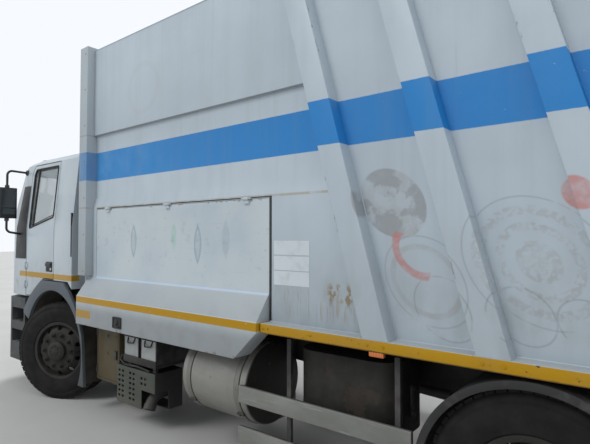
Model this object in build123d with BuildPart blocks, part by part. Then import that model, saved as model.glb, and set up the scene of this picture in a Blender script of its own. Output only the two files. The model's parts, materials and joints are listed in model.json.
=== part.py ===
from build123d import *
import math
import os

# A two-axle side-loading refuse truck, in millimetres.
# X points forward, Y to the left and Z up; the ground is Z = 0.

# Overall size
overall_length = 8200
front_overhang = 1280
wheelbase = 4815
front_axle_x = overall_length / 2 - front_overhang
rear_axle_x = front_axle_x - wheelbase
rear_end_x = -overall_length / 2


def aft(distance):
    """Turns a distance behind the front axle into an X position."""
    return front_axle_x - distance


# Clearances
seat_gap = 0.3
panel_gap = 8
door_gap = 12

# Wheels
tyre_radius = 515
tyre_width = 280
rim_radius = 286
rim_wall = 12
front_wheel_y = 1035
twin_outer_y = 1065
twin_inner_y = 740
kingpin_y = 900
hub_z = tyre_radius
steer_left_deg = 25
steer_right_deg = 22
pin_gap = 0.5
spindle_radius = 45
stud_count = 10
stud_circle = 335 / 2

# Chassis frame
rail_outer_y = 450
rail_width = 70
rail_inner_y = rail_outer_y - rail_width
rail_bottom_z = 720
rail_top_z = 980
beam_top_z = 1060
rail_web = 12
rail_front_x = aft(-1080)
rail_rear_x = rear_end_x + 180

# Refuse body
wall_y = 1145
wall_thickness = 40
wall_inner_y = wall_y - wall_thickness
floor_z = 1165
floor_thickness = 40
roof_z = 3600
roof_thickness = 40
body_front_x = aft(670)
body_rear_x = rear_end_x + 200
lean = 0.273
rib_depth = 105
rib_width = 160
rib_count = 4
first_rib_x = aft(3945)
last_rib_margin = 885
rib_pitch = (first_rib_x - body_rear_x - last_rib_margin) / (rib_count - 1)
post_width = 140
post_depth = 75
side_rail_height = 65
side_rail_z = floor_z - side_rail_height
bay_front = 880
bay_rear = 3158
bay_wall_y = 720
hatch_top_z = 2005

# Cab
cab_rear_x = aft(380)
cab_front_x = aft(-1250)
cab_half_width = 1140
cab_under_z = 1262
cab_bottom_z = 1045
cab_roof_z = 2650
cab_wall = 50
tilt_x = aft(-1210)
tilt_z = 1022
tilt_y = 415
tilt_pin_radius = 13
tumblehome = 70
tumblehome_z = 1850


def block(x0, x1, y0, y1, z0, z1, mode=Mode.ADD):
    """Adds a box between two corners to the part being built."""
    with Locations(((x0 + x1) / 2, (y0 + y1) / 2, (z0 + z1) / 2)):
        Box(abs(x1 - x0), abs(y1 - y0), abs(z1 - z0), mode=mode)


def side_prism(outline, y0, y1, mode=Mode.ADD):
    """Extrudes an outline of (x, z) points across the truck from y0 to y1."""
    left, right = max(y0, y1), min(y0, y1)
    with BuildSketch(Plane.XZ.offset(-left)) as profile:
        with BuildLine():
            Polyline(*outline, close=True)
        make_face()
    extrude(profile.sketch, amount=left - right, mode=mode)


def cross_prism(outline, x0, x1, mode=Mode.ADD):
    """Extrudes an outline of (y, z) points along the truck from x0 to x1."""
    with BuildSketch(Plane.YZ.offset(x0)) as profile:
        with BuildLine():
            Polyline(*outline, close=True)
        make_face()
    extrude(profile.sketch, amount=x1 - x0, mode=mode)


def plan_prism(outline, z0, z1, mode=Mode.ADD):
    """Extrudes an outline of (x, y) points upward from z0 to z1."""
    with BuildSketch(Plane.XY.offset(z0)) as profile:
        with BuildLine():
            Polyline(*outline, close=True)
        make_face()
    extrude(profile.sketch, amount=z1 - z0, mode=mode)


def rod(start, end, radius, mode=Mode.ADD):
    """Adds a round bar between two points."""
    span = Vector(*end) - Vector(*start)
    with BuildSketch(Plane(origin=start, z_dir=span)) as section:
        Circle(radius)
    extrude(section.sketch, amount=span.length, mode=mode)


def write(part, name):
    """Labels a finished piece and writes it as one STEP file."""
    part.label = name
    export_step(part, f"parts/{name}.step")


os.makedirs("parts", exist_ok=True)

# Chassis frame: two channel rails with the cab's tilt pins on their front ends
with BuildPart() as chassis_frame:
    for side in (1, -1):
        block(rail_rear_x, rail_front_x, side * rail_inner_y, side * rail_outer_y, rail_bottom_z,
              rail_top_z)
        block(rail_rear_x, rail_front_x, side * rail_inner_y, side * (rail_outer_y - rail_web),
              rail_bottom_z + rail_web, rail_top_z - rail_web, mode=Mode.SUBTRACT)
    for side in (1, -1):
        block(rail_front_x - 60, rail_front_x, side * rail_inner_y, side * rail_outer_y, rail_top_z,
              tilt_z + 14)
        block(rail_front_x, tilt_x, side * (tilt_y - 15), side * (tilt_y + 15), tilt_z - 14, tilt_z + 14)
        rod((tilt_x, side * (tilt_y - 60), tilt_z), (tilt_x, side * (tilt_y + 60), tilt_z),
            tilt_pin_radius)
        block(aft(300), aft(240), side * (rail_inner_y + 10), side * rail_outer_y, rail_top_z,
              cab_under_z - seat_gap)
write(chassis_frame.part, "chassis_frame")

# Cross members between the webs of the two rails
cross_member_aft = (-1020, 1400, 2500, 3440, 4300, 5500)
last_cross_member = 240
cross_member_length = 80
web_inner_y = rail_outer_y - rail_web - seat_gap
with BuildPart() as cross_members:
    for x in [aft(distance) for distance in cross_member_aft] + [rail_rear_x + last_cross_member]:
        block(x - cross_member_length / 2, x + cross_member_length / 2, -web_inner_y, web_inner_y,
              rail_bottom_z + 60, rail_top_z - 60)
write(cross_members.part, "cross_members")

# Leaf springs, one pair over each axle, with their hangers under the rails
spring_width = 76
spring_y = (rail_outer_y + rail_inner_y) / 2
spring_leaf = 16
front_spring_half = 720
rear_spring_half = 680
axle_seat_z = hub_z + 95


def spring_pair(axle_x, half_length, leaf_count):
    """Adds both springs of one axle: stepped leaves, two hangers and the axle seat."""
    top = rail_bottom_z - 22
    for side in (1, -1):
        y0 = side * spring_y - spring_width / 2
        for leaf in range(leaf_count):
            half = half_length * (1 - leaf / (leaf_count + 1))
            high = top - leaf * spring_leaf
            block(axle_x - half, axle_x + half, y0, y0 + spring_width, high - spring_leaf, high)
        seat_top = top - leaf_count * spring_leaf
        block(axle_x - 70, axle_x + 70, y0, y0 + spring_width, axle_seat_z, seat_top)
        for end in (-1, 1):
            x = axle_x + end * (half_length - 40)
            block(x - 40, x + 40, y0, y0 + spring_width, top, rail_bottom_z)


with BuildPart() as leaf_springs:
    spring_pair(front_axle_x, front_spring_half, 3)
    spring_pair(rear_axle_x, rear_spring_half, 4)
write(leaf_springs.part, "leaf_springs")

# Front axle: a dropped beam that ends in a fork above and below each knuckle
beam_depth = 90
knuckle_height = 150
fork_thickness = 40
with BuildPart() as front_axle:
    block(front_axle_x - beam_depth / 2, front_axle_x + beam_depth / 2, -kingpin_y + 130, kingpin_y - 130,
          hub_z - 70, hub_z + 40)
    for side in (1, -1):
        block(front_axle_x - 60, front_axle_x + 60, side * (spring_y - spring_width / 2),
              side * (spring_y + spring_width / 2), hub_z + 40, axle_seat_z)
        block(front_axle_x - beam_depth / 2, front_axle_x + beam_depth / 2, side * (kingpin_y - 170),
              side * (kingpin_y - 110), hub_z - knuckle_height / 2 - fork_thickness,
              hub_z + knuckle_height / 2 + fork_thickness)
        for low in (hub_z - knuckle_height / 2 - fork_thickness, hub_z + knuckle_height / 2):
            block(front_axle_x - beam_depth / 2, front_axle_x + beam_depth / 2, side * (kingpin_y - 170),
                  side * kingpin_y, low, low + fork_thickness)
            rod((front_axle_x, side * kingpin_y, low), (front_axle_x, side * kingpin_y,
                                                        low + fork_thickness),
                beam_depth / 2)
write(front_axle.part, "front_axle")

# Rear axle: a tube with a round differential case and the spring seats
axle_tube_radius = 75
axle_tube_half = 550
rear_spindle_end = 760
pinion_reach = 330
with BuildPart() as rear_axle:
    rod((rear_axle_x, -axle_tube_half, hub_z), (rear_axle_x, axle_tube_half, hub_z), axle_tube_radius)
    rod((rear_axle_x, -rear_spindle_end, hub_z), (rear_axle_x, rear_spindle_end, hub_z), spindle_radius)
    rod((rear_axle_x, -120, hub_z), (rear_axle_x, 120, hub_z), 215)
    rod((rear_axle_x, 0, hub_z), (rear_axle_x + pinion_reach, 0, hub_z), 95)
    for side in (1, -1):
        block(rear_axle_x - 65, rear_axle_x + 65, side * (spring_y - spring_width / 2),
              side * (spring_y + spring_width / 2), hub_z, axle_seat_z)
write(rear_axle.part, "rear_axle")

# Engine, one plain block with four feet on the rails
engine_half_width = 345
engine_top_z = 1130
engine_rear_x = aft(520)
engine_front_x = aft(-420)
with BuildPart() as engine_block:
    block(engine_rear_x, engine_front_x, -engine_half_width, engine_half_width, 640, engine_top_z)
    for x in (engine_rear_x + 90, engine_front_x - 90):
        block(x - 60, x + 60, -web_inner_y, web_inner_y, 840, 920)
write(engine_block.part, "engine_block")

# Gearbox behind the engine and the propeller shaft down to the rear axle
gearbox_length = 780
shaft_radius = 48
gearbox_rear_x = engine_rear_x - gearbox_length
with BuildPart() as gearbox_and_shaft:
    block(gearbox_rear_x, engine_rear_x, -220, 220, 660, 1010)
    rod((gearbox_rear_x, 0, 690), (rear_axle_x + pinion_reach + 60, 0, hub_z), shaft_radius)
    rod((rear_axle_x + pinion_reach + seat_gap, 0, hub_z), (rear_axle_x + pinion_reach + 110, 0, hub_z),
        80)
write(gearbox_and_shaft.part, "gearbox_and_shaft")

# Wheels. Across a wheel, s runs outward along its axle from the plane's origin.
tyre_shoulder = 122
tread_half = 100
sidewall_radius = 400
rim_half = 122
flange_radius = 305
flange_width = 9
hub_radius = 105
drum_radius = 205
drum_wall = 15
disc_thickness = 14
disc_flat_radius = 200
front_disc_offset = 118
twin_disc_y = (twin_outer_y + twin_inner_y) / 2
bead_radius = rim_radius + seat_gap


def wheel_plane(origin, outward):
    """The plane through a wheel's axle: local x runs outward and local y up."""
    return Plane(origin=origin, x_dir=outward, z_dir=Vector(*outward).cross(Vector(0, 0, 1)))


def turned(plane, outline, mode=Mode.ADD):
    """Revolves an outline of (s, radius) points about a wheel plane's axle."""
    with BuildSketch(plane) as profile:
        with BuildLine():
            Polyline(*outline, close=True)
        make_face()
    revolve(profile.sketch, axis=Axis(plane.origin, plane.x_dir), revolution_arc=360, mode=mode)


def tyre(plane, centre):
    """Adds one tyre with its middle at s = centre."""
    half = tyre_width / 2
    right = [(tread_half, tyre_radius), (tyre_shoulder, tyre_radius - 14), (half, sidewall_radius),
             (rim_half - flange_width - 8, bead_radius)]
    left = [(-s, r) for s, r in reversed(right)]
    turned(plane, [(centre + s, r) for s, r in right + left])


def rim(plane, centre):
    """Adds a rim barrel with both flanges."""
    inner = rim_radius - rim_wall
    turned(plane, [(centre - rim_half, inner), (centre - rim_half, flange_radius),
                   (centre - rim_half + flange_width, flange_radius),
                   (centre - rim_half + flange_width, rim_radius),
                   (centre + rim_half - flange_width, rim_radius),
                   (centre + rim_half - flange_width, flange_radius),
                   (centre + rim_half, flange_radius), (centre + rim_half, inner)])


def disc(plane, centre, face, bore, thickness=disc_thickness):
    """Adds a dished disc from the rim barrel at s = centre to a flat that starts at s = face."""
    step = thickness if face > centre else -thickness
    inner = rim_radius - rim_wall
    reach = (face - centre) * 0.35
    turned(plane, [(centre + reach, inner + 2), (face, disc_flat_radius), (face, bore),
                   (face + step, bore), (face + step, disc_flat_radius + 4),
                   (centre + reach + 2 * step, inner + 2)])


def hand_holes(plane, middle, depth):
    """Cuts the ring of round hand holes through a disc's cone."""
    ring = Plane(origin=plane.origin + plane.x_dir * (middle - depth / 2), z_dir=plane.x_dir)
    with BuildSketch(ring) as holes:
        with PolarLocations((rim_radius - rim_wall + disc_flat_radius) / 2 + 2, stud_count,
                            start_angle=18):
            Circle(25)
    extrude(holes.sketch, amount=depth, mode=Mode.SUBTRACT)


def studs(plane, start, length):
    """Adds the ring of wheel nuts."""
    ring = Plane(origin=plane.origin + plane.x_dir * start, z_dir=plane.x_dir)
    with BuildSketch(ring) as nuts:
        with PolarLocations(stud_circle, stud_count):
            RegularPolygon(17, 6)
    extrude(nuts.sketch, amount=length)


steer_deg = {1: steer_left_deg, -1: steer_right_deg}
side_name = {1: "left", -1: "right"}
front_wheel_s = front_wheel_y - kingpin_y
spindle_end = front_wheel_s + 60
backing_start = beam_depth / 2 + 6
drum_start = backing_start + 18

for side in (1, -1):
    name = side_name[side]
    turn = math.radians(steer_deg[side])
    outward = (-side * math.sin(turn), side * math.cos(turn), 0)
    axle = wheel_plane((front_axle_x, side * kingpin_y, hub_z), outward)

    # Steering knuckle: the kingpin boss, the spindle and the brake's backing plate
    with BuildPart() as knuckle:
        rod((front_axle_x, side * kingpin_y, hub_z - knuckle_height / 2 + pin_gap),
            (front_axle_x, side * kingpin_y, hub_z + knuckle_height / 2 - pin_gap), beam_depth / 2)
        turned(axle, [(0, 0), (0, spindle_radius), (spindle_end, spindle_radius), (spindle_end, 0)])
        turned(axle, [(backing_start, 0), (backing_start, drum_radius - 5),
                      (backing_start + 10, drum_radius - 5),
                      (backing_start + 10, 0)])
    write(knuckle.part, f"knuckle_{name}")

    # Front wheel: rim, dished disc, hub with its cap, and the brake drum
    hub_face = front_wheel_s + front_disc_offset
    with BuildPart() as front_wheel:
        rim(axle, front_wheel_s)
        disc(axle, front_wheel_s, hub_face, hub_radius - 20)
        hand_holes(axle, front_wheel_s + 90, 120)
        studs(axle, hub_face + disc_thickness, 24)
        turned(axle, [(drum_start, spindle_radius + pin_gap), (drum_start, hub_radius - 15),
                      (hub_face, hub_radius - 15), (hub_face, hub_radius),
                      (hub_face + 45, hub_radius - 5),
                      (hub_face + 60, hub_radius - 30), (hub_face + 60, 0), (spindle_end + pin_gap, 0),
                      (spindle_end + pin_gap, spindle_radius + pin_gap)])
        turned(axle, [(drum_start, drum_radius - drum_wall), (drum_start, drum_radius),
                      (hub_face - 60, drum_radius), (hub_face - 60, hub_radius - 20),
                      (hub_face - 60 - drum_wall, hub_radius - 20),
                      (hub_face - 60 - drum_wall, drum_radius - drum_wall)])
    write(front_wheel.part, f"front_wheel_{name}")
    with BuildPart() as front_tyre:
        tyre(axle, front_wheel_s)
    write(front_tyre.part, f"front_tyre_{name}")

    # Rear twin wheels on one hub
    rear = wheel_plane((rear_axle_x, 0, hub_z), (0, side, 0))
    rear_drum_start = axle_tube_half + 8
    with BuildPart() as rear_wheels:
        for centre in (twin_inner_y, twin_outer_y):
            rim(rear, centre)
            disc(rear, centre, twin_disc_y, hub_radius - 20)
        hand_holes(rear, twin_disc_y, 170)
        studs(rear, twin_disc_y + disc_thickness, 24)
        turned(rear, [(rear_drum_start, spindle_radius + pin_gap), (rear_drum_start, hub_radius),
                      (twin_disc_y + 110, hub_radius), (twin_disc_y + 130, hub_radius - 25),
                      (twin_disc_y + 130, 0),
                      (rear_spindle_end + pin_gap, 0), (rear_spindle_end + pin_gap,
                                                        spindle_radius + pin_gap)])
        turned(rear, [(rear_drum_start, drum_radius - drum_wall), (rear_drum_start, drum_radius),
                      (rear_drum_start + 180, drum_radius), (rear_drum_start + 180, hub_radius - 5),
                      (rear_drum_start + 180 - drum_wall, hub_radius - 5),
                      (rear_drum_start + 180 - drum_wall, drum_radius - drum_wall)])
    write(rear_wheels.part, f"rear_wheels_{name}")
    with BuildPart() as rear_tyres:
        for centre in (twin_inner_y, twin_outer_y):
            tyre(rear, centre)
    write(rear_tyres.part, f"rear_tyres_{name}")

# Fuel tank: a drum along the left rail, with two straps and their brackets
tank_radius = 315
tank_y = 795
tank_z = 620
tank_front_x = aft(2170)
tank_rear_x = aft(2890)
strap_width = 46
strap_thickness = 6
with BuildPart() as fuel_tank:
    rod((tank_rear_x, tank_y, tank_z), (tank_front_x, tank_y, tank_z), tank_radius)
    fillet(fuel_tank.edges(), radius=24)
    for x in (tank_rear_x + 90, tank_front_x - 90):
        rod((x - strap_width / 2, tank_y, tank_z), (x + strap_width / 2, tank_y, tank_z),
            tank_radius + strap_thickness)
        block(x - 30, x + 30, rail_outer_y, tank_y, tank_z - tank_radius - 18, rail_top_z - 90)
write(fuel_tank.part, "fuel_tank")

# Oil tank behind the fuel tank: an upright block with round corners
oil_tank_front_x = aft(3290)
oil_tank_rear_x = aft(4030)
oil_tank_inner_y = 560
oil_tank_outer_y = 1040
with BuildPart() as oil_tank:
    block(oil_tank_rear_x, oil_tank_front_x, oil_tank_inner_y, oil_tank_outer_y, 520, 985)
    fillet(oil_tank.edges().filter_by(Axis.Z), radius=150)
    for x in (oil_tank_rear_x + 200, oil_tank_front_x - 200):
        block(x - 30, x + 30, rail_outer_y, oil_tank_inner_y + 20, 780, 840)
write(oil_tank.part, "oil_tank")

# Battery tray on the left rail, with two batteries and a punched step box below
tray_rear_x = aft(1780)
tray_front_x = aft(1280)
tray_y = 1085
tray_z = 585
tray_thickness = 30
battery_height = 225
with BuildPart() as battery_tray:
    block(tray_rear_x, tray_front_x, rail_outer_y, tray_y, tray_z, tray_z + tray_thickness)
    block(tray_rear_x, tray_front_x, rail_outer_y, rail_outer_y + 20, tray_z, rail_top_z - 40)
    block(tray_rear_x, tray_front_x, tray_y - 8, tray_y, tray_z + tray_thickness,
          tray_z + tray_thickness + 35)
write(battery_tray.part, "battery_tray")
battery_gap = 30
battery_length = (tray_front_x - tray_rear_x - battery_gap) / 2
with BuildPart() as batteries:
    for x in (tray_rear_x, tray_rear_x + battery_length + battery_gap):
        block(x, x + battery_length, tray_y - 380, tray_y - 8 - seat_gap, tray_z + tray_thickness,
              tray_z + tray_thickness + battery_height)
        for post in (40, battery_length - 40):
            rod((x + post, tray_y - 190, tray_z + tray_thickness + battery_height),
                (x + post, tray_y - 190, tray_z + tray_thickness + battery_height + 18), 10)
write(batteries.part, "batteries")
step_rear_x = aft(1770)
step_front_x = aft(1180)
step_bottom_z = 200
step_top_z = 540
step_wall = 10
# Slots in pairs, as (distance aft of the front axle, height of the middle, pitch, rows)
slot_groups = ((1245, 375, 46, 6), (1420, 375, 46, 6), (1600, 450, 46, 2))
slot_pitch = 56
slot_length = 34
slot_height = 22
notch_length = 200
notch_height = 170
notch_depth = 150
with BuildPart() as step_box:
    block(step_rear_x, step_front_x, tray_y - 300, tray_y, step_bottom_z, step_top_z)
    block(step_rear_x + step_wall, step_front_x - step_wall, tray_y - 300, tray_y - step_wall,
          step_bottom_z + step_wall, step_top_z - step_wall, mode=Mode.SUBTRACT)
    with BuildSketch(Plane.XZ.offset(-tray_y)) as slots:
        for distance, z, pitch_z, rows in slot_groups:
            with Locations((aft(distance), z)):
                with GridLocations(slot_pitch, pitch_z, 2, rows):
                    Rectangle(slot_length, slot_height)
    extrude(slots.sketch, amount=step_wall, mode=Mode.SUBTRACT)
    block(step_rear_x - 5, step_rear_x + notch_length, tray_y - notch_depth, tray_y + 5,
          step_bottom_z - 5, step_bottom_z + notch_height, mode=Mode.SUBTRACT)
    for x in (tray_rear_x + 60, tray_front_x - 60):
        block(x - 20, x + 20, tray_y - 60, tray_y - 30, step_top_z, tray_z)
write(step_box.part, "step_box")

# Locker behind the front left wheel
locker_rear_x = aft(1150)
locker_front_x = aft(750)
with BuildPart() as locker:
    block(locker_rear_x, locker_front_x, 560, 1050, 320, 890)
    block(locker_rear_x + 60, locker_front_x - 60, rail_outer_y, 560, 760, 860)
write(locker.part, "locker")

# Silencer and air tanks on the right rail
with BuildPart() as silencer:
    block(aft(1700), aft(1000), -1040, -520, 380, 860)
    fillet(silencer.edges().filter_by(Axis.X), radius=90)
    for x in (aft(1600), aft(1100)):
        block(x - 30, x + 30, -600, -rail_outer_y, 740, 840)
    rod((aft(1700), -900, 470), (aft(2020), -900, 470), 55)
write(silencer.part, "silencer")
air_tank_radius = 135
air_tank_z = 640
with BuildPart() as air_tanks:
    for y in (-640, -940):
        rod((aft(2950), y, air_tank_z), (aft(2150), y, air_tank_z), air_tank_radius)
    for x in (aft(2800), aft(2300)):
        block(x - 25, x + 25, -940, -rail_outer_y, air_tank_z + air_tank_radius - 25,
              air_tank_z + air_tank_radius + 15)
write(air_tanks.part, "air_tanks")

# Side guards: two rails on posts that hang from two of the body's cross bearers
guard_y = wall_y + 5
guard_front_x = aft(2860)
guard_rear_x = aft(4190)
guard_rail_height = 120
guard_rail_thickness = 28
guard_bottoms = (270, 555)
guard_post_length = 35
guard_post_width = 26
guard_post_aft = (3306, 4096)
guard_post_inner_y = guard_y - guard_rail_thickness - guard_post_width
with BuildPart() as side_guards:
    for side in (1, -1):
        front_x = guard_front_x if side > 0 else aft(3010)
        for low in guard_bottoms:
            block(guard_rear_x, front_x, side * (guard_y - guard_rail_thickness), side * guard_y,
                  low, low + guard_rail_height)
        for distance in guard_post_aft:
            x = aft(distance)
            block(x - guard_post_length / 2, x + guard_post_length / 2, side * guard_post_inner_y,
                  side * (guard_y - guard_rail_thickness), guard_bottoms[0], beam_top_z)
write(side_guards.part, "side_guards")

# Rear mudguards: half rings over the twin wheels, on arms from the chassis rail
mudguard_radius = 580
mudguard_wall = 14
mudguard_lip = 40
mudguard_inner_y = 585
mudguard_outer_y = 1238
mudguard_z = hub_z - 15
mudguard_low_z = hub_z + 60
with BuildPart() as rear_mudguards:
    for side in (1, -1):
        middle = wheel_plane((rear_axle_x, 0, mudguard_z), (0, side, 0))
        turned(middle, [(mudguard_inner_y, mudguard_radius - mudguard_wall),
                        (mudguard_inner_y, mudguard_radius),
                        (mudguard_outer_y, mudguard_radius), (mudguard_outer_y,
                                                              mudguard_radius - mudguard_lip),
                        (mudguard_outer_y - mudguard_wall, mudguard_radius - mudguard_lip),
                        (mudguard_outer_y - mudguard_wall, mudguard_radius - mudguard_wall)])
    block(rear_axle_x - 700, rear_axle_x + 700, -1300, 1300, -100, mudguard_low_z, mode=Mode.SUBTRACT)
    for side in (1, -1):
        for x in (rear_axle_x - 480, rear_axle_x + 480):
            block(x - 25, x + 25, side * rail_outer_y, side * (mudguard_inner_y + 60), 775, 815)
write(rear_mudguards.part, "rear_mudguards")

# Body subframe: two long beams on the chassis rails
bearer_top_z = floor_z - floor_thickness
with BuildPart() as subframe:
    for side in (1, -1):
        block(body_rear_x, body_front_x, side * rail_inner_y, side * rail_outer_y, rail_top_z, beam_top_z)
write(subframe.part, "subframe")

# Cross bearers between the subframe and the floor, clear of the rear wheels
bearer_length = 90
bearer_wheel_gap = 415
bearer_aft = (900, 1500, 2200, 2800, *guard_post_aft, wheelbase - bearer_wheel_gap,
              wheelbase + bearer_wheel_gap)
last_bearer = 320
floor_edge_y = wall_inner_y
bay_floor_y = bay_wall_y + 20
bearer_x = [aft(distance) for distance in bearer_aft]
last_bearer_x = body_rear_x + last_bearer
bearer_x += [(bearer_x[-1] + last_bearer_x) / 2, last_bearer_x]
with BuildPart() as cross_bearers:
    for x in bearer_x:
        right_y = bay_floor_y if aft(bay_rear) < x < aft(bay_front) else floor_edge_y
        block(x - bearer_length / 2, x + bearer_length / 2, -right_y, floor_edge_y, beam_top_z,
              bearer_top_z)
write(cross_bearers.part, "cross_bearers")

# Body floor with the outer side rails, cut back under the lifter's bay
side_rail_y = wall_y + rib_depth
rail_start_x = aft(bay_rear + 7)
with BuildPart() as body_floor:
    block(body_rear_x, body_front_x, -floor_edge_y, floor_edge_y, bearer_top_z, floor_z)
    block(aft(bay_rear), aft(bay_front), -floor_edge_y, -bay_floor_y, bearer_top_z, floor_z,
          mode=Mode.SUBTRACT)
    for side in (1, -1):
        block(body_rear_x, rail_start_x, side * floor_edge_y, side * side_rail_y, side_rail_z, floor_z)
write(body_floor.part, "body_floor")

# Body sides: a sheet wall, a recessed strip, a front post and leaning ribs
roof_rise = roof_z - floor_z
body_rear_top_x = body_rear_x + lean * roof_rise
strip_top_z = 2745
strip_crease_z = 2135
strip_depth = 30
post_foot_z = 1360
post_top_z = roof_z + 30
bay_top_z = roof_z - 300
hatch_axis_y = wall_y + 13
hatch_axis_z = hatch_top_z + 5
hatch_hinge_x = (aft(1100), aft(2019), aft(2940))


def leaning(x, z):
    """Moves a point of the floor line up a rib's slope to height z."""
    return (x + lean * (z - floor_z), z)


# The rear door closes on the leaning ends of the walls and hangs from pins behind the roof.
# Along the door, "up" follows the lean and "out" points away from the load space.
lean_length = math.hypot(lean, 1)
up = Vector(lean / lean_length, 0, 1 / lean_length)
out = Vector(-1 / lean_length, 0, lean / lean_length)
hinge_pin_radius = 12
door_hinge_y = (-700, 700)
door_hinge_x = body_rear_top_x - panel_gap - 20
door_hinge_z = roof_z
door_hinge = Vector(door_hinge_x, 0, door_hinge_z)
door_pin = door_hinge - up * 450 + out * 20
ram_foot = door_hinge - up * 1650 - out * 220
ram_y = wall_y + 50
ram_pin_radius = 16
ram_pin_end_y = wall_y + 90

wall_outline = [(body_front_x - post_width, floor_z), (body_rear_x, floor_z), (body_rear_top_x, roof_z),
                (body_front_x - post_width, roof_z)]
for side in (1, -1):
    with BuildPart() as strip:
        cross_prism([(side * (wall_y + 1), strip_top_z), (side * (wall_y - strip_depth), strip_top_z),
                     (side * (wall_y - strip_depth), strip_crease_z), (side * wall_y, hatch_top_z + 20),
                     (side * (wall_y + 1), hatch_top_z + 20)], body_rear_x, body_front_x - post_width)
        strip_rear_x = first_rib_x - rib_width / 2
        side_prism([leaning(strip_rear_x, hatch_top_z - 50), leaning(strip_rear_x, roof_z),
                    (body_front_x, roof_z), (body_front_x, hatch_top_z - 50)], -1300, 1300,
                    mode=Mode.INTERSECT)
    with BuildPart() as body_side:
        side_prism(wall_outline, side * wall_inner_y, side * wall_y)
        add(strip.part, mode=Mode.SUBTRACT)
        opening_top = hatch_top_z + 3 if side > 0 else bay_top_z
        block(aft(bay_rear), aft(bay_front), side * (wall_inner_y - 5), side * (wall_y + 5), floor_z - 5,
              opening_top, mode=Mode.SUBTRACT)
        post_rear_x = body_front_x - post_width
        block(post_rear_x, body_front_x, side * wall_inner_y, side * (wall_y + post_depth), post_foot_z,
              post_top_z)
        block(post_rear_x, body_front_x, side * wall_inner_y, side * wall_y, floor_z, post_foot_z)
        for rib in range(rib_count):
            x = first_rib_x - rib * rib_pitch
            side_prism([leaning(x, floor_z), leaning(x, roof_z), leaning(x - rib_width, roof_z),
                        leaning(x - rib_width, floor_z)], side * (wall_y - 5), side * side_rail_y)
        if side > 0:
            for x in hatch_hinge_x:
                rod((x - 45, hatch_axis_y, hatch_axis_z), (x + 45, hatch_axis_y, hatch_axis_z), 6)
                for x0 in (x - 45, x + 30):
                    block(x0, x0 + 15, wall_y - 10, hatch_axis_y + 6, hatch_axis_z, hatch_axis_z + 8)
        rod((ram_foot.X, side * wall_y, ram_foot.Z), (ram_foot.X, side * ram_pin_end_y, ram_foot.Z),
            ram_pin_radius)
    write(body_side.part, f"body_side_{side_name[side]}")

# Body front wall with upright stiffeners towards the cab
front_wall_x = body_front_x - 70
with BuildPart() as body_front:
    block(front_wall_x - 40, front_wall_x, -wall_inner_y, wall_inner_y, floor_z, roof_z - roof_thickness)
    for y in (-760, -380, 0, 380, 760):
        block(front_wall_x, body_front_x - 10, y - 40, y + 40, floor_z + 60, roof_z - 140)
write(body_front.part, "body_front")

# Air intake duct, held on the body's front stiffener behind the cab
intake_rear_x = aft(620)
intake_front_x = aft(440)
intake_low_y = 640
intake_high_y = 940
intake_head_z = 2620
intake_top_z = 2860
with BuildPart() as air_intake:
    block(intake_rear_x, intake_front_x, intake_low_y, intake_high_y, 1230, intake_head_z)
    block(intake_rear_x, intake_front_x + 20, intake_low_y - 40, intake_high_y + 40, intake_head_z,
          intake_top_z)
    for low in (1500, 2300):
        block(body_front_x - 10, intake_rear_x, 735, 785, low, low + 60)
write(air_intake.part, "air_intake")

# Roof with bows that carry the ribs across
bow_height = 32
with BuildPart() as body_roof:
    block(body_rear_top_x, front_wall_x, -wall_inner_y, wall_inner_y, roof_z - roof_thickness, roof_z)
    side_prism([(body_rear_top_x, roof_z + 5), (body_rear_top_x, roof_z - roof_thickness - 5),
                (body_rear_top_x - lean * (roof_thickness + 5), roof_z - roof_thickness - 5)], -1200,
                1200,
               mode=Mode.SUBTRACT)
    for rib in range(rib_count):
        x = leaning(first_rib_x - rib * rib_pitch, roof_z)[0]
        block(x - rib_width, x, -wall_y, wall_y, roof_z, roof_z + bow_height)
    for y in door_hinge_y:
        rod((door_hinge_x, y - 60, door_hinge_z), (door_hinge_x, y + 60, door_hinge_z), hinge_pin_radius)
        for y0 in (y - 60, y + 45):
            block(door_hinge_x - hinge_pin_radius, body_rear_top_x + 20, y0, y0 + 15, door_hinge_z - 20,
                  door_hinge_z + 14)
write(body_roof.part, "body_roof")

# The lifter hangs from a cross tube in the right bay, and one ram turns it by a crank
lift_y = -980
lift_z = 2200
lifter_front_aft = 1080
lifter_rear_aft = 2960
lift_mid_x = aft((lifter_front_aft + lifter_rear_aft) / 2)
journal_radius = 40
lift_pin_radius = 14
crank_length = 160
crank_pin_inset = 25
crank_gap = 80
crank_plate = 20
ram_base_y = -790
ram_base_z = 1330

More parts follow.
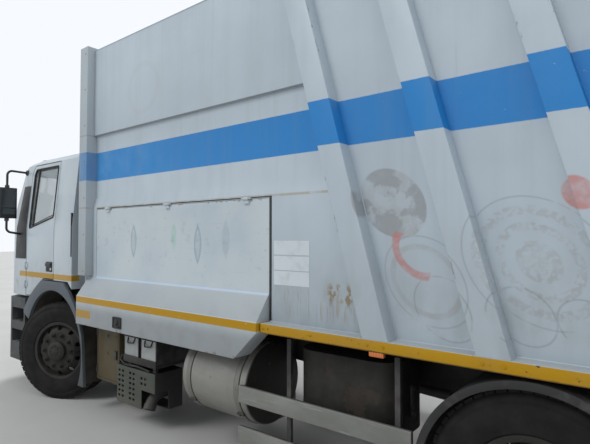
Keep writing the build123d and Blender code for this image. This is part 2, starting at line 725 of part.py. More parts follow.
# Hopper: the tub between the lifter's bay and the left service bay, open to the load space
hopper_top_z = 2380
hopper_wall = 20
hopper_left_y = 700
chute_top_z = 2620
with BuildPart() as hopper:
    for y0, y1 in ((-bay_wall_y - hopper_wall, -bay_wall_y), (hopper_left_y,
                                                              hopper_left_y + hopper_wall)):
        block(aft(bay_rear), aft(bay_front), y0, y1, floor_z, hopper_top_z)
    block(aft(bay_front), aft(bay_front) + hopper_wall, -bay_wall_y - hopper_wall,
          hopper_left_y + hopper_wall,
          floor_z, hopper_top_z)
    cross_prism([(-bay_wall_y, hopper_top_z - 30), (-bay_wall_y, hopper_top_z),
                 (-wall_inner_y, chute_top_z),
                 (-wall_inner_y, chute_top_z - 30)], aft(bay_rear), aft(bay_front) + hopper_wall)
    cross_prism([(hopper_left_y, hopper_top_z - 30), (hopper_left_y, hopper_top_z),
                 (wall_inner_y, chute_top_z),
                 (wall_inner_y, chute_top_z - 30)], aft(bay_rear), aft(bay_front) + hopper_wall)
    for y0, y1 in ((-wall_inner_y, -bay_wall_y), (hopper_left_y, wall_inner_y)):
        block(aft(bay_rear) - hopper_wall, aft(bay_rear), y0, y1, floor_z, hopper_top_z)
    for distance in (lifter_front_aft - 70, lifter_rear_aft + 30):
        block(aft(distance + 40), aft(distance), lift_y - 70, -bay_wall_y - hopper_wall, lift_z - 70,
              lift_z + 70)
    for x in (lift_mid_x - 60, lift_mid_x + 45):
        block(x, x + 15, ram_base_y - 30, -bay_wall_y - hopper_wall, ram_base_z - 40, ram_base_z + 40)
    rod((lift_mid_x - 60, ram_base_y, ram_base_z), (lift_mid_x + 60, ram_base_y, ram_base_z),
        lift_pin_radius)
    rod((aft(lifter_rear_aft + 80), lift_y, lift_z), (aft(lifter_front_aft - 80), lift_y, lift_z),
        journal_radius + pin_gap, mode=Mode.SUBTRACT)
write(hopper.part, "hopper")

# Service hatch on the left: a flat upper leaf and a flared lower box with closed ends
hatch_crease_z = 1350
hatch_flare_z = 1165
hatch_bottom_z = 900
hatch_flare_y = 1275
hatch_wall = 35
hatch_front_x = aft(bay_front + panel_gap)
hatch_rear_x = aft(bay_rear - panel_gap)
flare_front_x = aft(752)
hatch_outline = [(hatch_front_x, hatch_top_z), (hatch_rear_x, hatch_top_z), (hatch_rear_x, 1100),
                 (hatch_rear_x + 210, hatch_bottom_z), (flare_front_x, hatch_bottom_z),
                 (flare_front_x, hatch_crease_z - 5), (hatch_front_x, hatch_crease_z - 5)]
hatch_hollow = [(flare_front_x - 30, hatch_crease_z + 1), (hatch_rear_x + 30, hatch_crease_z + 1),
                (hatch_rear_x + 30, 1110), (hatch_rear_x + 220, hatch_bottom_z + 25),
                (flare_front_x - 30, hatch_bottom_z + 25)]
with BuildPart() as hollow:
    cross_prism([(wall_inner_y, hatch_crease_z), (wall_y - hatch_wall, hatch_crease_z),
                 (hatch_flare_y - hatch_wall, hatch_flare_z + 8),
                 (hatch_flare_y - hatch_wall, hatch_bottom_z),
                 (wall_inner_y, hatch_bottom_z)], hatch_rear_x, flare_front_x)
    side_prism(hatch_hollow, 1000, 1400, mode=Mode.INTERSECT)
with BuildPart() as service_hatch:
    cross_prism([(wall_y - hatch_wall, hatch_top_z), (wall_y, hatch_top_z), (wall_y, hatch_crease_z),
                 (hatch_flare_y, hatch_flare_z), (hatch_flare_y, hatch_bottom_z),
                 (wall_y - hatch_wall, hatch_bottom_z)], hatch_rear_x, flare_front_x)
    side_prism(hatch_outline, 1000, 1400, mode=Mode.INTERSECT)
    add(hollow.part, mode=Mode.SUBTRACT)
    block(aft(bay_front) - panel_gap, flare_front_x + 5, 1000, wall_y + 7, hatch_bottom_z - 5,
          hatch_top_z,
          mode=Mode.SUBTRACT)
    for x in hatch_hinge_x:
        block(x - 25, x + 25, wall_y - 20, hatch_axis_y, hatch_top_z - 30, hatch_top_z - 1)
        rod((x - 25, hatch_axis_y, hatch_axis_z), (x + 25, hatch_axis_y, hatch_axis_z), 11)
        rod((x - 30, hatch_axis_y, hatch_axis_z), (x + 30, hatch_axis_y, hatch_axis_z), 6 + pin_gap,
            mode=Mode.SUBTRACT)
write(service_hatch.part, "service_hatch")

# Cab: three outlines crossed into one rounded block, hollowed by the same block drawn smaller
cab_corner_radius = 230
screen_base_z = 1700
screen_top_z = 2550
roof_edge_width = 60
# Wheel opening under the cab, as (distance aft of the front axle, height), shared by the doors
# and the mudguards
opening_curve = ((-265, cab_under_z), (-375, 1200), (-490, 1125), (-600, cab_bottom_z))


def opening_edge(shift_aft, shift_z):
    """The wheel opening's points (x, z), moved aft and up by a little."""
    return [(aft(distance + shift_aft), z + shift_z) for distance, z in opening_curve]


cab_profile = [(cab_rear_x, 1190), (cab_rear_x + 80, cab_under_z), *opening_edge(0, 0),
               (cab_front_x - 20, cab_bottom_z), (cab_front_x, cab_bottom_z + 30),
               (cab_front_x, screen_base_z - 60), (cab_front_x - 50, screen_base_z),
               (aft(-900), screen_top_z),
               (aft(-800), cab_roof_z - 30), (aft(-600), cab_roof_z), (cab_rear_x + 50, cab_roof_z),
               (cab_rear_x, cab_roof_z - 50)]
cab_section = [(-cab_half_width, 900), (cab_half_width, 900), (cab_half_width, tumblehome_z),
               (cab_half_width - tumblehome, cab_roof_z - 60),
               (cab_half_width - tumblehome - roof_edge_width, cab_roof_z),
               (-cab_half_width + tumblehome + roof_edge_width, cab_roof_z),
               (-cab_half_width + tumblehome, cab_roof_z - 60), (-cab_half_width, tumblehome_z)]


def outline_face(plane, points, inset):
    """A closed outline on a plane, drawn smaller by an inset."""
    with BuildSketch(plane) as face:
        with BuildLine():
            Polyline(*points, close=True)
        make_face()
        if inset:
            offset(amount=-inset, kind=Kind.INTERSECTION)
    return face.sketch


def cab_solid(inset):
    """The cab's whole rounded block, smaller by an inset on every side."""
    reach = 2000
    with BuildPart() as solid:
        extrude(outline_face(Plane.XZ.offset(-reach), cab_profile, inset), amount=2 * reach)
        extrude(outline_face(Plane.YZ.offset(-overall_length), cab_section, inset),
                amount=2 * overall_length,
                mode=Mode.INTERSECT)
        with BuildSketch(Plane.XY) as plan:
            with Locations(((cab_rear_x + cab_front_x) / 2, 0)):
                Rectangle(cab_front_x - cab_rear_x - 2 * inset, 2 * (cab_half_width - inset))
            front_corners = plan.vertices().sort_by(Axis.X)[-2:]
            fillet(front_corners, radius=cab_corner_radius - inset)
        extrude(plan.sketch, amount=3 * reach, mode=Mode.INTERSECT)
    return solid.part


cab_outer = cab_solid(0)
cab_skin = cab_solid(22)
cab_inner = cab_solid(cab_wall)

# Doors: a full outer skin on an inner frame that stops short of it
door_rear_x = aft(-30)
door_front_x = aft(-710)
door_top_z = 2580
sill_lift = 13
door_outline = [(door_rear_x, cab_under_z + sill_lift), *opening_edge(-5, sill_lift),
                (door_front_x, cab_bottom_z + sill_lift), (door_front_x, door_top_z - 90),
                (door_front_x - 60, door_top_z),
                (door_rear_x, door_top_z)]
window_outline = [(door_rear_x + 35, 1960), (door_front_x - 60, 1840),
                  (door_front_x - 60, door_top_z - 110),
                  (door_front_x - 95, door_top_z - 45), (door_rear_x + 35, door_top_z - 45)]
door_frame_inset = 15
door_axis_x = door_front_x + 6
door_axis_y = cab_half_width + 12
door_hinge_z_list = (1180, 1400)
door_zone = [(cab_half_width - cab_wall, 900), (cab_half_width - cab_wall, tumblehome_z - 5),
             (cab_half_width - tumblehome - cab_wall - 9, door_top_z + 20),
             (cab_half_width + 60, door_top_z + 20),
             (cab_half_width + 60, 900)]
opening_zone = [(cab_half_width - cab_wall - 5, 900), (cab_half_width - cab_wall - 5, tumblehome_z - 10),
                (cab_half_width - tumblehome - cab_wall - 17, door_top_z + 30),
                (cab_half_width + 60, door_top_z + 30),
                (cab_half_width + 60, 900)]
glass_depth = 10
glass_thickness = 8
cab_glazing = cab_solid(glass_depth) - cab_solid(glass_depth + glass_thickness)


def side_zone(side, outline, zone, grow=0):
    """The space over an outline of the cab's side, limited to its wall."""
    with BuildPart() as space:
        extrude(outline_face(Plane.XZ.offset(-side * (cab_half_width + 60)), outline, -grow),
                amount=side * 400)
        cross_prism([(side * y, z) for y, z in zone], cab_rear_x, cab_front_x, mode=Mode.INTERSECT)
    return space.part


screen_low_half = cab_half_width - 120
screen_high_half = cab_half_width - 155
screen_outline = [(-screen_low_half, screen_base_z + 45), (screen_low_half, screen_base_z + 45),
                  (screen_high_half, screen_top_z - 50), (-screen_high_half, screen_top_z - 50)]
rear_window_outline = [(-520, 1950), (520, 1950), (520, 2380), (-520, 2380)]


def end_zone(outline, x0, x1, grow=0):
    """The space in front of or behind an outline of the cab's end."""
    with BuildPart() as space:
        extrude(outline_face(Plane.YZ.offset(x0), outline, -grow), amount=x1 - x0)
    return space.part


with BuildPart() as cab_shell:
    add(cab_outer)
    add(cab_inner, mode=Mode.SUBTRACT)
    for side in (1, -1):
        add(side_zone(side, door_outline, opening_zone, door_gap), mode=Mode.SUBTRACT)
    add(end_zone(screen_outline, aft(-740), cab_front_x + 50), mode=Mode.SUBTRACT)
    add(end_zone(rear_window_outline, cab_rear_x - 10, cab_rear_x + 100), mode=Mode.SUBTRACT)
    for side in (1, -1):
        for y in (tilt_y - 40, tilt_y + 40):
            rod((tilt_x, side * y - 15, tilt_z), (tilt_x, side * y + 15, tilt_z), 21)
            block(tilt_x - 21, tilt_x + 8, side * y - 15, side * y + 15, tilt_z + 4, cab_bottom_z + 5)
            rod((tilt_x, side * y - 20, tilt_z), (tilt_x, side * y + 20, tilt_z),
                tilt_pin_radius + pin_gap,
                mode=Mode.SUBTRACT)
        for z in door_hinge_z_list:
            rod((door_axis_x, side * door_axis_y, z - 45), (door_axis_x, side * door_axis_y, z + 45), 6)
            for low in (z - 45, z + 30):
                block(door_axis_x - 6, door_axis_x + 26, side * (cab_half_width - 20),
                      side * (door_axis_y + 6),
                      low, low + 15)
write(cab_shell.part, "cab_shell")
with BuildPart() as panes:
    add(end_zone(screen_outline, aft(-740), cab_front_x + 50, -seat_gap))
    add(end_zone(rear_window_outline, cab_rear_x - 10, cab_rear_x + 100, -seat_gap))
with BuildPart() as cab_glass:
    add(cab_glazing)
    add(panes.part, mode=Mode.INTERSECT)
write(cab_glass.part, "cab_glass")
for side in (1, -1):
    with BuildPart() as cab_door:
        add(cab_outer)
        add(cab_skin, mode=Mode.SUBTRACT)
        add(side_zone(side, door_outline, door_zone), mode=Mode.INTERSECT)
    with BuildPart() as door_frame:
        add(cab_skin)
        add(cab_inner, mode=Mode.SUBTRACT)
        add(side_zone(side, door_outline, door_zone, -door_frame_inset), mode=Mode.INTERSECT)
    with BuildPart() as whole_door:
        add(cab_door.part)
        add(door_frame.part)
        add(side_zone(side, window_outline, opening_zone), mode=Mode.SUBTRACT)
        for z in door_hinge_z_list:
            block(door_front_x - 40, door_axis_x, side * (cab_half_width - 12), side * (door_axis_y - 3),
                  z - 25, z + 25)
            rod((door_axis_x, side * door_axis_y, z - 25), (door_axis_x, side * door_axis_y, z + 25), 11)
            rod((door_axis_x, side * door_axis_y, z - 30), (door_axis_x, side * door_axis_y, z + 30),
                6 + pin_gap, mode=Mode.SUBTRACT)
    write(whole_door.part, f"door_{side_name[side]}")
    with BuildPart() as door_glass:
        add(cab_glazing)
        add(side_zone(side, window_outline, opening_zone, -seat_gap), mode=Mode.INTERSECT)
    write(door_glass.part, f"door_glass_{side_name[side]}")

# Cab trim in dark plastic: the corner panels beside the windscreen and the front grille
corner_panel_proud = 7
corner_outline = [(aft(-728), 1480), (aft(-1010), 1480), (aft(-985), 1850), (aft(-890), 2350),
                  (aft(-728), 2350)]
grille_half_width = 800
grille_bottom_z = 1150
grille_top_z = 1590
slat_count = 5
slat_height = 44
grille_depth = 18
with BuildPart() as corner_skin:
    add(cab_solid(-corner_panel_proud))
    add(cab_outer, mode=Mode.SUBTRACT)
with BuildPart() as cab_trim:
    for side in (1, -1):
        add(side_zone(side, corner_outline, [(900, 1400), (900, 2400), (1200, 2400), (1200, 1400)]))
    add(corner_skin.part, mode=Mode.INTERSECT)
    block(cab_front_x, cab_front_x + grille_depth, -grille_half_width, grille_half_width, grille_bottom_z,
          grille_top_z)
    slat_pitch = (grille_top_z - grille_bottom_z) / slat_count
    for slat in range(slat_count):
        low = grille_bottom_z + (slat + 0.5) * slat_pitch - slat_height / 2
        for y0, y1 in ((-grille_half_width + 30, -20), (20, grille_half_width - 30)):
            block(cab_front_x + grille_depth - 10, cab_front_x + grille_depth, y0, y1, low,
                  low + slat_height,
                  mode=Mode.SUBTRACT)
write(cab_trim.part, "cab_trim")

# Cab interior: dashboard, two seats and the steering wheel on the left
cab_floor_top = cab_under_z + cab_wall
dash_face_x = aft(-770)
with BuildPart() as dashboard:
    side_prism([(dash_face_x, 1500), (dash_face_x, 1700), (aft(-860), 1780), (aft(-1050), 1740),
                (aft(-1100), 1500)], -cab_half_width, cab_half_width)
    for y in (-650, 0, 650):
        block(aft(-800), aft(-1000), y - 60, y + 60, cab_bottom_z, 1510)
    add(cab_inner, mode=Mode.INTERSECT)
write(dashboard.part, "dashboard")
seat_y = 560
seat_width = 500
seat_rear_x = aft(300)
seat_front_x = aft(-260)
cushion_z = 1660
with BuildPart() as seats:
    for y in (-seat_y, seat_y):
        block(seat_rear_x + 60, seat_front_x - 60, y - 190, y + 190, cab_floor_top, cushion_z)
        side_prism([(seat_rear_x, cushion_z), (seat_front_x, cushion_z), (seat_front_x, cushion_z + 110),
                    (seat_rear_x + 130, cushion_z + 110), (seat_rear_x + 60, cushion_z + 760),
                    (seat_rear_x - 30, cushion_z + 760)], y - seat_width / 2, y + seat_width / 2)
write(seats.part, "seats")
wheel_centre = Vector(aft(-520), seat_y, 1870)
column_foot = Vector(aft(-800), seat_y, 1650)
steering_rim_radius = 225
steering_tube = 15
with BuildPart() as steering_wheel:
    tilt_plane = Plane(origin=wheel_centre, z_dir=column_foot - wheel_centre)
    with BuildSketch(Plane(origin=wheel_centre, x_dir=tilt_plane.x_dir, z_dir=tilt_plane.y_dir)) as tube:
        with Locations((steering_rim_radius, 0)):
            Circle(steering_tube)
    revolve(tube.sketch, axis=Axis(tilt_plane.origin, tilt_plane.z_dir), revolution_arc=360)
    with BuildSketch(tilt_plane) as spokes:
        Rectangle(2 * steering_rim_radius, 40)
        Circle(62)
    extrude(spokes.sketch, amount=16)
    rod(wheel_centre, column_foot, 30)
    block(dash_face_x - seat_gap, dash_face_x + 100, seat_y - 100, seat_y + 100, 1500, 1800,
          mode=Mode.SUBTRACT)
write(steering_wheel.part, "steering_wheel")

# Mirrors: a tube bent into a C on each front corner, with one tall head on it
mirror_y = cab_half_width + 165
mirror_x = aft(-875)
mirror_bottom_z = 1960
mirror_top_z = 2320
mirror_width = 210
mirror_depth = 95
mirror_tube_radius = 13
arm_top_z = 2530
arm_low_z = 1800
arm_root_z = arm_top_z - 10
wall_slope = tumblehome / (cab_roof_z - 60 - tumblehome_z)
arm_root_y = cab_half_width - wall_slope * (arm_root_z - tumblehome_z) + 1.8
with BuildPart() as mirrors:
    for side in (1, -1):
        with BuildLine() as route:
            FilletPolyline((mirror_x, side * arm_root_y, arm_root_z),
                           (mirror_x, side * mirror_y, arm_top_z), (mirror_x, side * mirror_y, arm_low_z),
                           (mirror_x, side * (cab_half_width + corner_panel_proud + 2.4), arm_low_z - 25),
                           radius=55)
        with BuildSketch(Plane(origin=route.line @ 0, z_dir=route.line % 0)):
            Circle(mirror_tube_radius)
        sweep(path=route.line)
        with BuildSketch(Plane.XY.offset(mirror_bottom_z)):
            with Locations((mirror_x, side * mirror_y)):
                RectangleRounded(mirror_depth, mirror_width, 40)
        extrude(amount=mirror_top_z - mirror_bottom_z)
write(mirrors.part, "mirrors")

# Front mudguards: an arch trim over a rolled plate, on arms from the chassis rail
arch_radius = 640
arch_wall = 16
arch_inner_y = 850
arch_outer_y = cab_half_width + 20
arch_trim_y = arch_outer_y - 30
opening_gap = 12
arch_outline = [(aft(-720), 850), (aft(-720), 885), *reversed(opening_edge(8, -opening_gap)),
                (aft(230), cab_under_z - opening_gap), (aft(358), 1162), (aft(470), 1050),
                (aft(566), 902), (aft(640), 740), (aft(690), 240), (aft(560), 240)]
with BuildPart() as rolled_plates:
    for side in (1, -1):
        middle = wheel_plane((front_axle_x, 0, hub_z), (0, side, 0))
        turned(middle, [(arch_inner_y, arch_radius), (arch_trim_y, arch_radius),
                        (arch_trim_y, arch_radius + arch_wall), (arch_inner_y, arch_radius + arch_wall)])
    side_prism(arch_outline, -1300, 1300, mode=Mode.INTERSECT)
with BuildPart() as front_mudguards:
    add(rolled_plates.part)
    for side in (1, -1):
        side_prism(arch_outline, side * arch_trim_y, side * arch_outer_y)
    rod((front_axle_x, -1300, hub_z), (front_axle_x, 1300, hub_z), arch_radius, mode=Mode.SUBTRACT)
    for side in (1, -1):
        block(front_axle_x - 30, front_axle_x + 30, side * rail_outer_y, side * (rail_outer_y + 30), 880,
              hub_z + arch_radius + arch_wall)
        block(front_axle_x - 30, front_axle_x + 30, side * rail_outer_y, side * (arch_inner_y + 10),
              hub_z + arch_radius, hub_z + arch_radius + arch_wall)
write(front_mudguards.part, "front_mudguards")

# Front bumper with the entry steps in its ends, on brackets from the chassis rails
bumper_front_x = aft(-front_overhang)
bumper_inner_x = aft(-1120)
bumper_end_x = aft(-728)
bumper_bottom_z = 260
bumper_top_z = 1010
bumper_half_width = cab_half_width
bumper_end_wall = 240
step_treads = ((470, 620), (720, 880))
tow_socket_y = 520
tow_socket_z = 600
tow_socket_radius = 20
tow_socket_depth = 60
lamp_bottom_z = 700
lamp_top_z = 880
lamp_inner_y = 700
lamp_outer_y = 1000
lamp_depth = 60
with BuildPart() as front_bumper:
    plan_prism([(bumper_front_x, -bumper_half_width + 160), (bumper_front_x, bumper_half_width - 160),
                (bumper_front_x - 150, bumper_half_width), (bumper_end_x, bumper_half_width),
                (bumper_end_x, bumper_half_width - bumper_end_wall),
                (bumper_inner_x - 60, bumper_half_width - bumper_end_wall),
                (bumper_inner_x, bumper_half_width - 300),
                (bumper_inner_x, -bumper_half_width + 300), (bumper_inner_x - 60,
                                                             -bumper_half_width + bumper_end_wall),
                (bumper_end_x, -bumper_half_width + bumper_end_wall), (bumper_end_x, -bumper_half_width),
                (bumper_front_x - 150, -bumper_half_width)], bumper_bottom_z, bumper_top_z)
    for side in (1, -1):
        for low, high in step_treads:
            block(bumper_end_x + 40, bumper_inner_x - 30, side * (bumper_half_width - 170),
                  side * (bumper_half_width + 5), low, high, mode=Mode.SUBTRACT)
        block(bumper_front_x - lamp_depth, bumper_front_x + 5, side * lamp_inner_y, side * lamp_outer_y,
              lamp_bottom_z, lamp_top_z, mode=Mode.SUBTRACT)
        block(rail_front_x, bumper_inner_x, side * rail_inner_y, side * rail_outer_y, 740, 940)
        block(bumper_inner_x - 5, bumper_front_x - 10, side * (tilt_y - 75), side * (tilt_y + 75),
              tilt_z - 42, bumper_top_z + 5, mode=Mode.SUBTRACT)
    block(bumper_front_x - 30, bumper_front_x + 5, -330, 330, 420, 560, mode=Mode.SUBTRACT)
    rod((bumper_front_x - tow_socket_depth, tow_socket_y, tow_socket_z),
        (bumper_front_x + 5, tow_socket_y, tow_socket_z),
        tow_socket_radius, mode=Mode.SUBTRACT)
write(front_bumper.part, "front_bumper")

# Rear under-run bar and lamp board on brackets behind the chassis rails
underrun_depth = 60
tow_eye_radius = 22
board_x = rear_end_x + 40
with BuildPart() as rear_bumper:
    block(rear_end_x, rear_end_x + underrun_depth, -1150, 1150, 440, 560)
    block(board_x, board_x + 20, -1120, 1120, 830, 970)
    block(rear_end_x + 5, rear_end_x + 90, -20, 20, 350, 445)
    rod((rear_end_x + 47, -25, 395), (rear_end_x + 47, 25, 395), tow_eye_radius, mode=Mode.SUBTRACT)
    for side in (1, -1):
        block(board_x + 20, rail_rear_x, side * rail_inner_y, side * rail_outer_y, 440, rail_top_z)
write(rear_bumper.part, "rear_bumper")

# Lamps: headlamps in the bumper, rear lamps on their board and side markers under the side rails
marker_aft = (4030, 5600)
with BuildPart() as lamps:
    for side in (1, -1):
        block(bumper_front_x - lamp_depth, bumper_front_x - 8, side * (lamp_inner_y + seat_gap),
              side * (lamp_outer_y - seat_gap), lamp_bottom_z + seat_gap, lamp_top_z - seat_gap)
        for y0, y1 in ((640, 780), (790, 930), (940, 1080)):
            block(board_x - 22, board_x, side * y0, side * y1, 845, 955)
        for distance in marker_aft:
            block(aft(distance) - 45, aft(distance) + 45, side * (side_rail_y - 34),
                  side * (side_rail_y - 4),
                  side_rail_z - 28, side_rail_z)
write(lamps.part, "lamps")

# Lifter: cross tube, two hanging arms, a comb beam that takes the bins, and the crank
arm_length = 1160
arm_thickness = 60
arm_depth = 110
beam_height = 110
comb_count = 9
comb_reach = 190
with BuildPart() as lifter_arm:
    rod((aft(lifter_rear_aft + 60), lift_y, lift_z), (aft(lifter_front_aft - 60), lift_y, lift_z),
        journal_radius)
    rod((aft(lifter_rear_aft + 20), lift_y, lift_z), (aft(lifter_front_aft - 20), lift_y, lift_z),
        journal_radius + 14)
    arm_front = aft(lifter_front_aft + 50)
    arm_rear = aft(lifter_rear_aft - 50)
    arm_end_z = lift_z - arm_length
    for x in (arm_front, arm_rear + arm_thickness):
        block(x - arm_thickness, x, lift_y - arm_depth / 2, lift_y + arm_depth / 2, arm_end_z, lift_z)
    block(arm_rear, arm_front, lift_y - 50, lift_y + 50, arm_end_z - 40, arm_end_z - 40 + beam_height)
    pitch = (arm_front - arm_rear - 200) / (comb_count - 1)
    for tooth in range(comb_count):
        x = arm_rear + 100 + tooth * pitch
        block(x - 25, x + 25, lift_y - 50 - comb_reach, lift_y - 50, arm_end_z + 40, arm_end_z + 65)
        block(x - 25, x + 25, lift_y - 50 - comb_reach, lift_y - 30 - comb_reach, arm_end_z + 40,
              arm_end_z + 120)
    block(lift_mid_x - crank_gap / 2, lift_mid_x + crank_gap / 2, lift_y - 60, lift_y + 60, lift_z - 60,
          lift_z + 60, mode=Mode.SUBTRACT)
    for x in (lift_mid_x - crank_gap / 2 - crank_plate, lift_mid_x + crank_gap / 2):
        block(x, x + crank_plate, lift_y - 56, lift_y + 56, lift_z - crank_length - 36, lift_z + 56)
write(lifter_arm.part, "lifter_arm")


def ram_barrel(foot, head, length, radius, bore, eye_radius, pin_radius, eye_half, pin_axis):
    """Adds a ram's barrel: a tube from its foot towards its head, with an eye round the foot's pin."""
    direction = (head - foot).normalized()
    rod(foot + direction * (eye_radius - 6), foot + direction * length, radius)
    rod(foot - pin_axis * eye_half, foot + pin_axis * eye_half, eye_radius)
    rod(foot + direction * (eye_radius + 30), foot + direction * (length + 5), bore, mode=Mode.SUBTRACT)
    rod(foot - pin_axis * (eye_half + 5), foot + pin_axis * (eye_half + 5), pin_radius + pin_gap,
        mode=Mode.SUBTRACT)


def ram_rod(foot, head, start, radius, eye_radius, pin_radius, eye_half, pin_start, pin_end):
    """Adds a ram's rod from inside the barrel to its eye, with the eye's own pin through it."""
    direction = (head - foot).normalized()
    pin_axis = (pin_end - pin_start).normalized()
    rod(foot + direction * start, head - direction * (eye_radius - 6), radius)
    rod(head - pin_axis * eye_half, head + pin_axis * eye_half, eye_radius)
    rod(pin_start, pin_end, pin_radius)


along = Vector(1, 0, 0)
across = Vector(0, 1, 0)
lift_foot = Vector(lift_mid_x, ram_base_y, ram_base_z)
lift_head = Vector(lift_mid_x, lift_y + crank_pin_inset, lift_z - crank_length)
with BuildPart() as lifter_ram_barrel:
    ram_barrel(lift_foot, lift_head, 520, 40, 25.5, 28, lift_pin_radius, 35, along)
write(lifter_ram_barrel.part, "lifter_ram_barrel")
with BuildPart() as lifter_ram_rod:
    pin_half = crank_gap / 2 - pin_gap
    ram_rod(lift_foot, lift_head, 70, 25, 28, lift_pin_radius, 30, lift_head - along * pin_half,
            lift_head + along * pin_half)
write(lifter_ram_rod.part, "lifter_ram_rod")

# Rear door: a leaning slab with a frame of ribs outside, hung on the pins behind the roof
rear_door_half = wall_y - 5
rear_door_skin = 45
rear_door_rib = 75
rear_door_bottom_z = 1110
rear_door_top_z = roof_z - 26
rib_height = 130
rib_lows = (rear_door_bottom_z, 1900, 2650, rear_door_top_z - rib_height)
lug_face_y = wall_y + 12


def door_slope(z, depth=0):
    """A point of the rear door's front face at height z, moved back by a depth."""
    return (body_rear_x - panel_gap + lean * (z - floor_z) - depth, z)


def door_slab(low, high, y0, y1, near, far, mode=Mode.ADD):
    """Adds a leaning slab of the rear door between two heights and two depths."""
    side_prism([door_slope(low, near), door_slope(high, near), door_slope(high, far),
                door_slope(low, far)],
               y0, y1, mode=mode)


with BuildPart() as rear_door:
    door_slab(rear_door_bottom_z, rear_door_top_z, -rear_door_half, rear_door_half, 0, rear_door_skin)
    full_depth = rear_door_skin + rear_door_rib
    for low in rib_lows:
        door_slab(low, low + rib_height, -rear_door_half, rear_door_half, rear_door_skin - 5, full_depth)
    for y in (-rear_door_half, -60, rear_door_half - 120):
        door_slab(rear_door_bottom_z, rear_door_top_z, y, y + 120, rear_door_skin - 5, full_depth)
    for y in door_hinge_y:
        rod((door_hinge_x, y - 40, door_hinge_z), (door_hinge_x, y + 40, door_hinge_z), 20)
        block(door_hinge_x - 60, door_hinge_x - 14, y - 40, y + 40, door_hinge_z - 60, door_hinge_z + 20)
        rod((door_hinge_x, y - 45, door_hinge_z), (door_hinge_x, y + 45, door_hinge_z),
            hinge_pin_radius + pin_gap,
            mode=Mode.SUBTRACT)
    for side in (1, -1):
        side_prism([tuple(door_pin + up * a + out * b)[::2] for a, b in
                    ((-50, -30), (50, -30), (50, 60), (-50, 60))], side * (rear_door_half - 10),
                    side * lug_face_y)
write(rear_door.part, "rear_door")

with BuildPart() as rear_ram_barrels:
    for side in (1, -1):
        offset_y = across * (side * ram_y)
        ram_barrel(ram_foot + offset_y, door_pin + offset_y, 760, 40, 25.5, 32, ram_pin_radius, 28,
                   across)
write(rear_ram_barrels.part, "rear_ram_barrels")
with BuildPart() as rear_ram_rods:
    for side in (1, -1):
        offset_y = across * (side * ram_y)
        ram_rod(ram_foot + offset_y, door_pin + offset_y, 100, 25, 30, ram_pin_radius, 25,
                door_pin + across * (side * (lug_face_y + pin_gap)),
                door_pin + across * (side * ram_pin_end_y))
write(rear_ram_rods.part, "rear_ram_rods")
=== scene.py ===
"""A two-axle side-loading refuse truck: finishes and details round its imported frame.

Metres; X forward, Y to the truck's left, Z up from the ground.
"""
import json
import math

import bmesh
import bpy
from mathutils import Matrix, Vector


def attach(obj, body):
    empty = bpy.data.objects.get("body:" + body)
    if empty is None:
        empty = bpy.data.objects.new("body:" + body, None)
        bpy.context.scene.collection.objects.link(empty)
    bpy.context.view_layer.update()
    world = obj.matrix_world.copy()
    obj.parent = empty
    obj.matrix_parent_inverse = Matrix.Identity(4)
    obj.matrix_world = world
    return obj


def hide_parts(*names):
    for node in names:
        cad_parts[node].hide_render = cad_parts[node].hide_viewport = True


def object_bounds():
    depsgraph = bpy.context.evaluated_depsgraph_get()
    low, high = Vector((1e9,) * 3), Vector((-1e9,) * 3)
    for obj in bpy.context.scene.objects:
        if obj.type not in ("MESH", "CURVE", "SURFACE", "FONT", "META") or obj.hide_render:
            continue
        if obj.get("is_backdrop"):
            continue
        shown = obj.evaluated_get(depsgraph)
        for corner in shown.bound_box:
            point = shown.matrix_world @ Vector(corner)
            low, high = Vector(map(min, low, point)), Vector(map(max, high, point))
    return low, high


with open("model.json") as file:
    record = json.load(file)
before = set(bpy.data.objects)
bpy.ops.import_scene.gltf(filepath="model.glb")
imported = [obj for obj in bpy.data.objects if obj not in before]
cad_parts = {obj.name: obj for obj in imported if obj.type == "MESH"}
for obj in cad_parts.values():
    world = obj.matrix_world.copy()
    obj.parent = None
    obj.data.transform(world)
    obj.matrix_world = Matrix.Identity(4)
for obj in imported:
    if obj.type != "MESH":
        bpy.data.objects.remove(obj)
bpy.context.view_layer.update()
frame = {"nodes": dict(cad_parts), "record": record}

# Main places along and across the truck
front_axle_x = 2.82
rear_axle_x = front_axle_x - 4.815
hub_z = 0.515
lead_end_y = 0.456


def aft(distance):
    """X of a place this far behind the front axle."""
    return front_axle_x - distance


wall_y = 1.145
side_rail_y = 1.25
rail_low_z = 1.1
rail_high_z = 1.165
roof_z = 3.6
lean = 0.273
rib_width = 0.16
rib_pitch = 0.63
rib_count = 4
first_rib_x = aft(3.945)
hatch_top_z = 2.005
cab_half_width = 1.14
cab_front_x = aft(-1.25)
fog_y = 0.84
fog_z = 0.44

# Camera, at the photograph's place beside the rear of the body
image_width = 590
focal_pixels = 480
sensor_width = 36
camera_turn = math.radians(38.66)
camera_rise = math.radians(1.79)
camera_place = (-2.53, 3.61, 1.737)
camera_data = bpy.data.cameras.new("camera")
camera_data.sensor_fit = "HORIZONTAL"
camera_data.sensor_width = sensor_width
camera_data.lens = focal_pixels / image_width * sensor_width
camera_data.clip_start = 0.05
camera_data.clip_end = 200
camera = bpy.data.objects.new("camera", camera_data)
bpy.context.collection.objects.link(camera)
camera.location = camera_place
sight = Vector((math.sin(camera_turn) * math.cos(camera_rise),
                -math.cos(camera_turn) * math.cos(camera_rise), math.sin(camera_rise)))
camera.rotation_mode = "QUATERNION"
camera.rotation_quaternion = sight.to_track_quat("-Z", "Y")
bpy.context.scene.camera = camera
bpy.context.scene.view_settings.view_transform = "Standard"


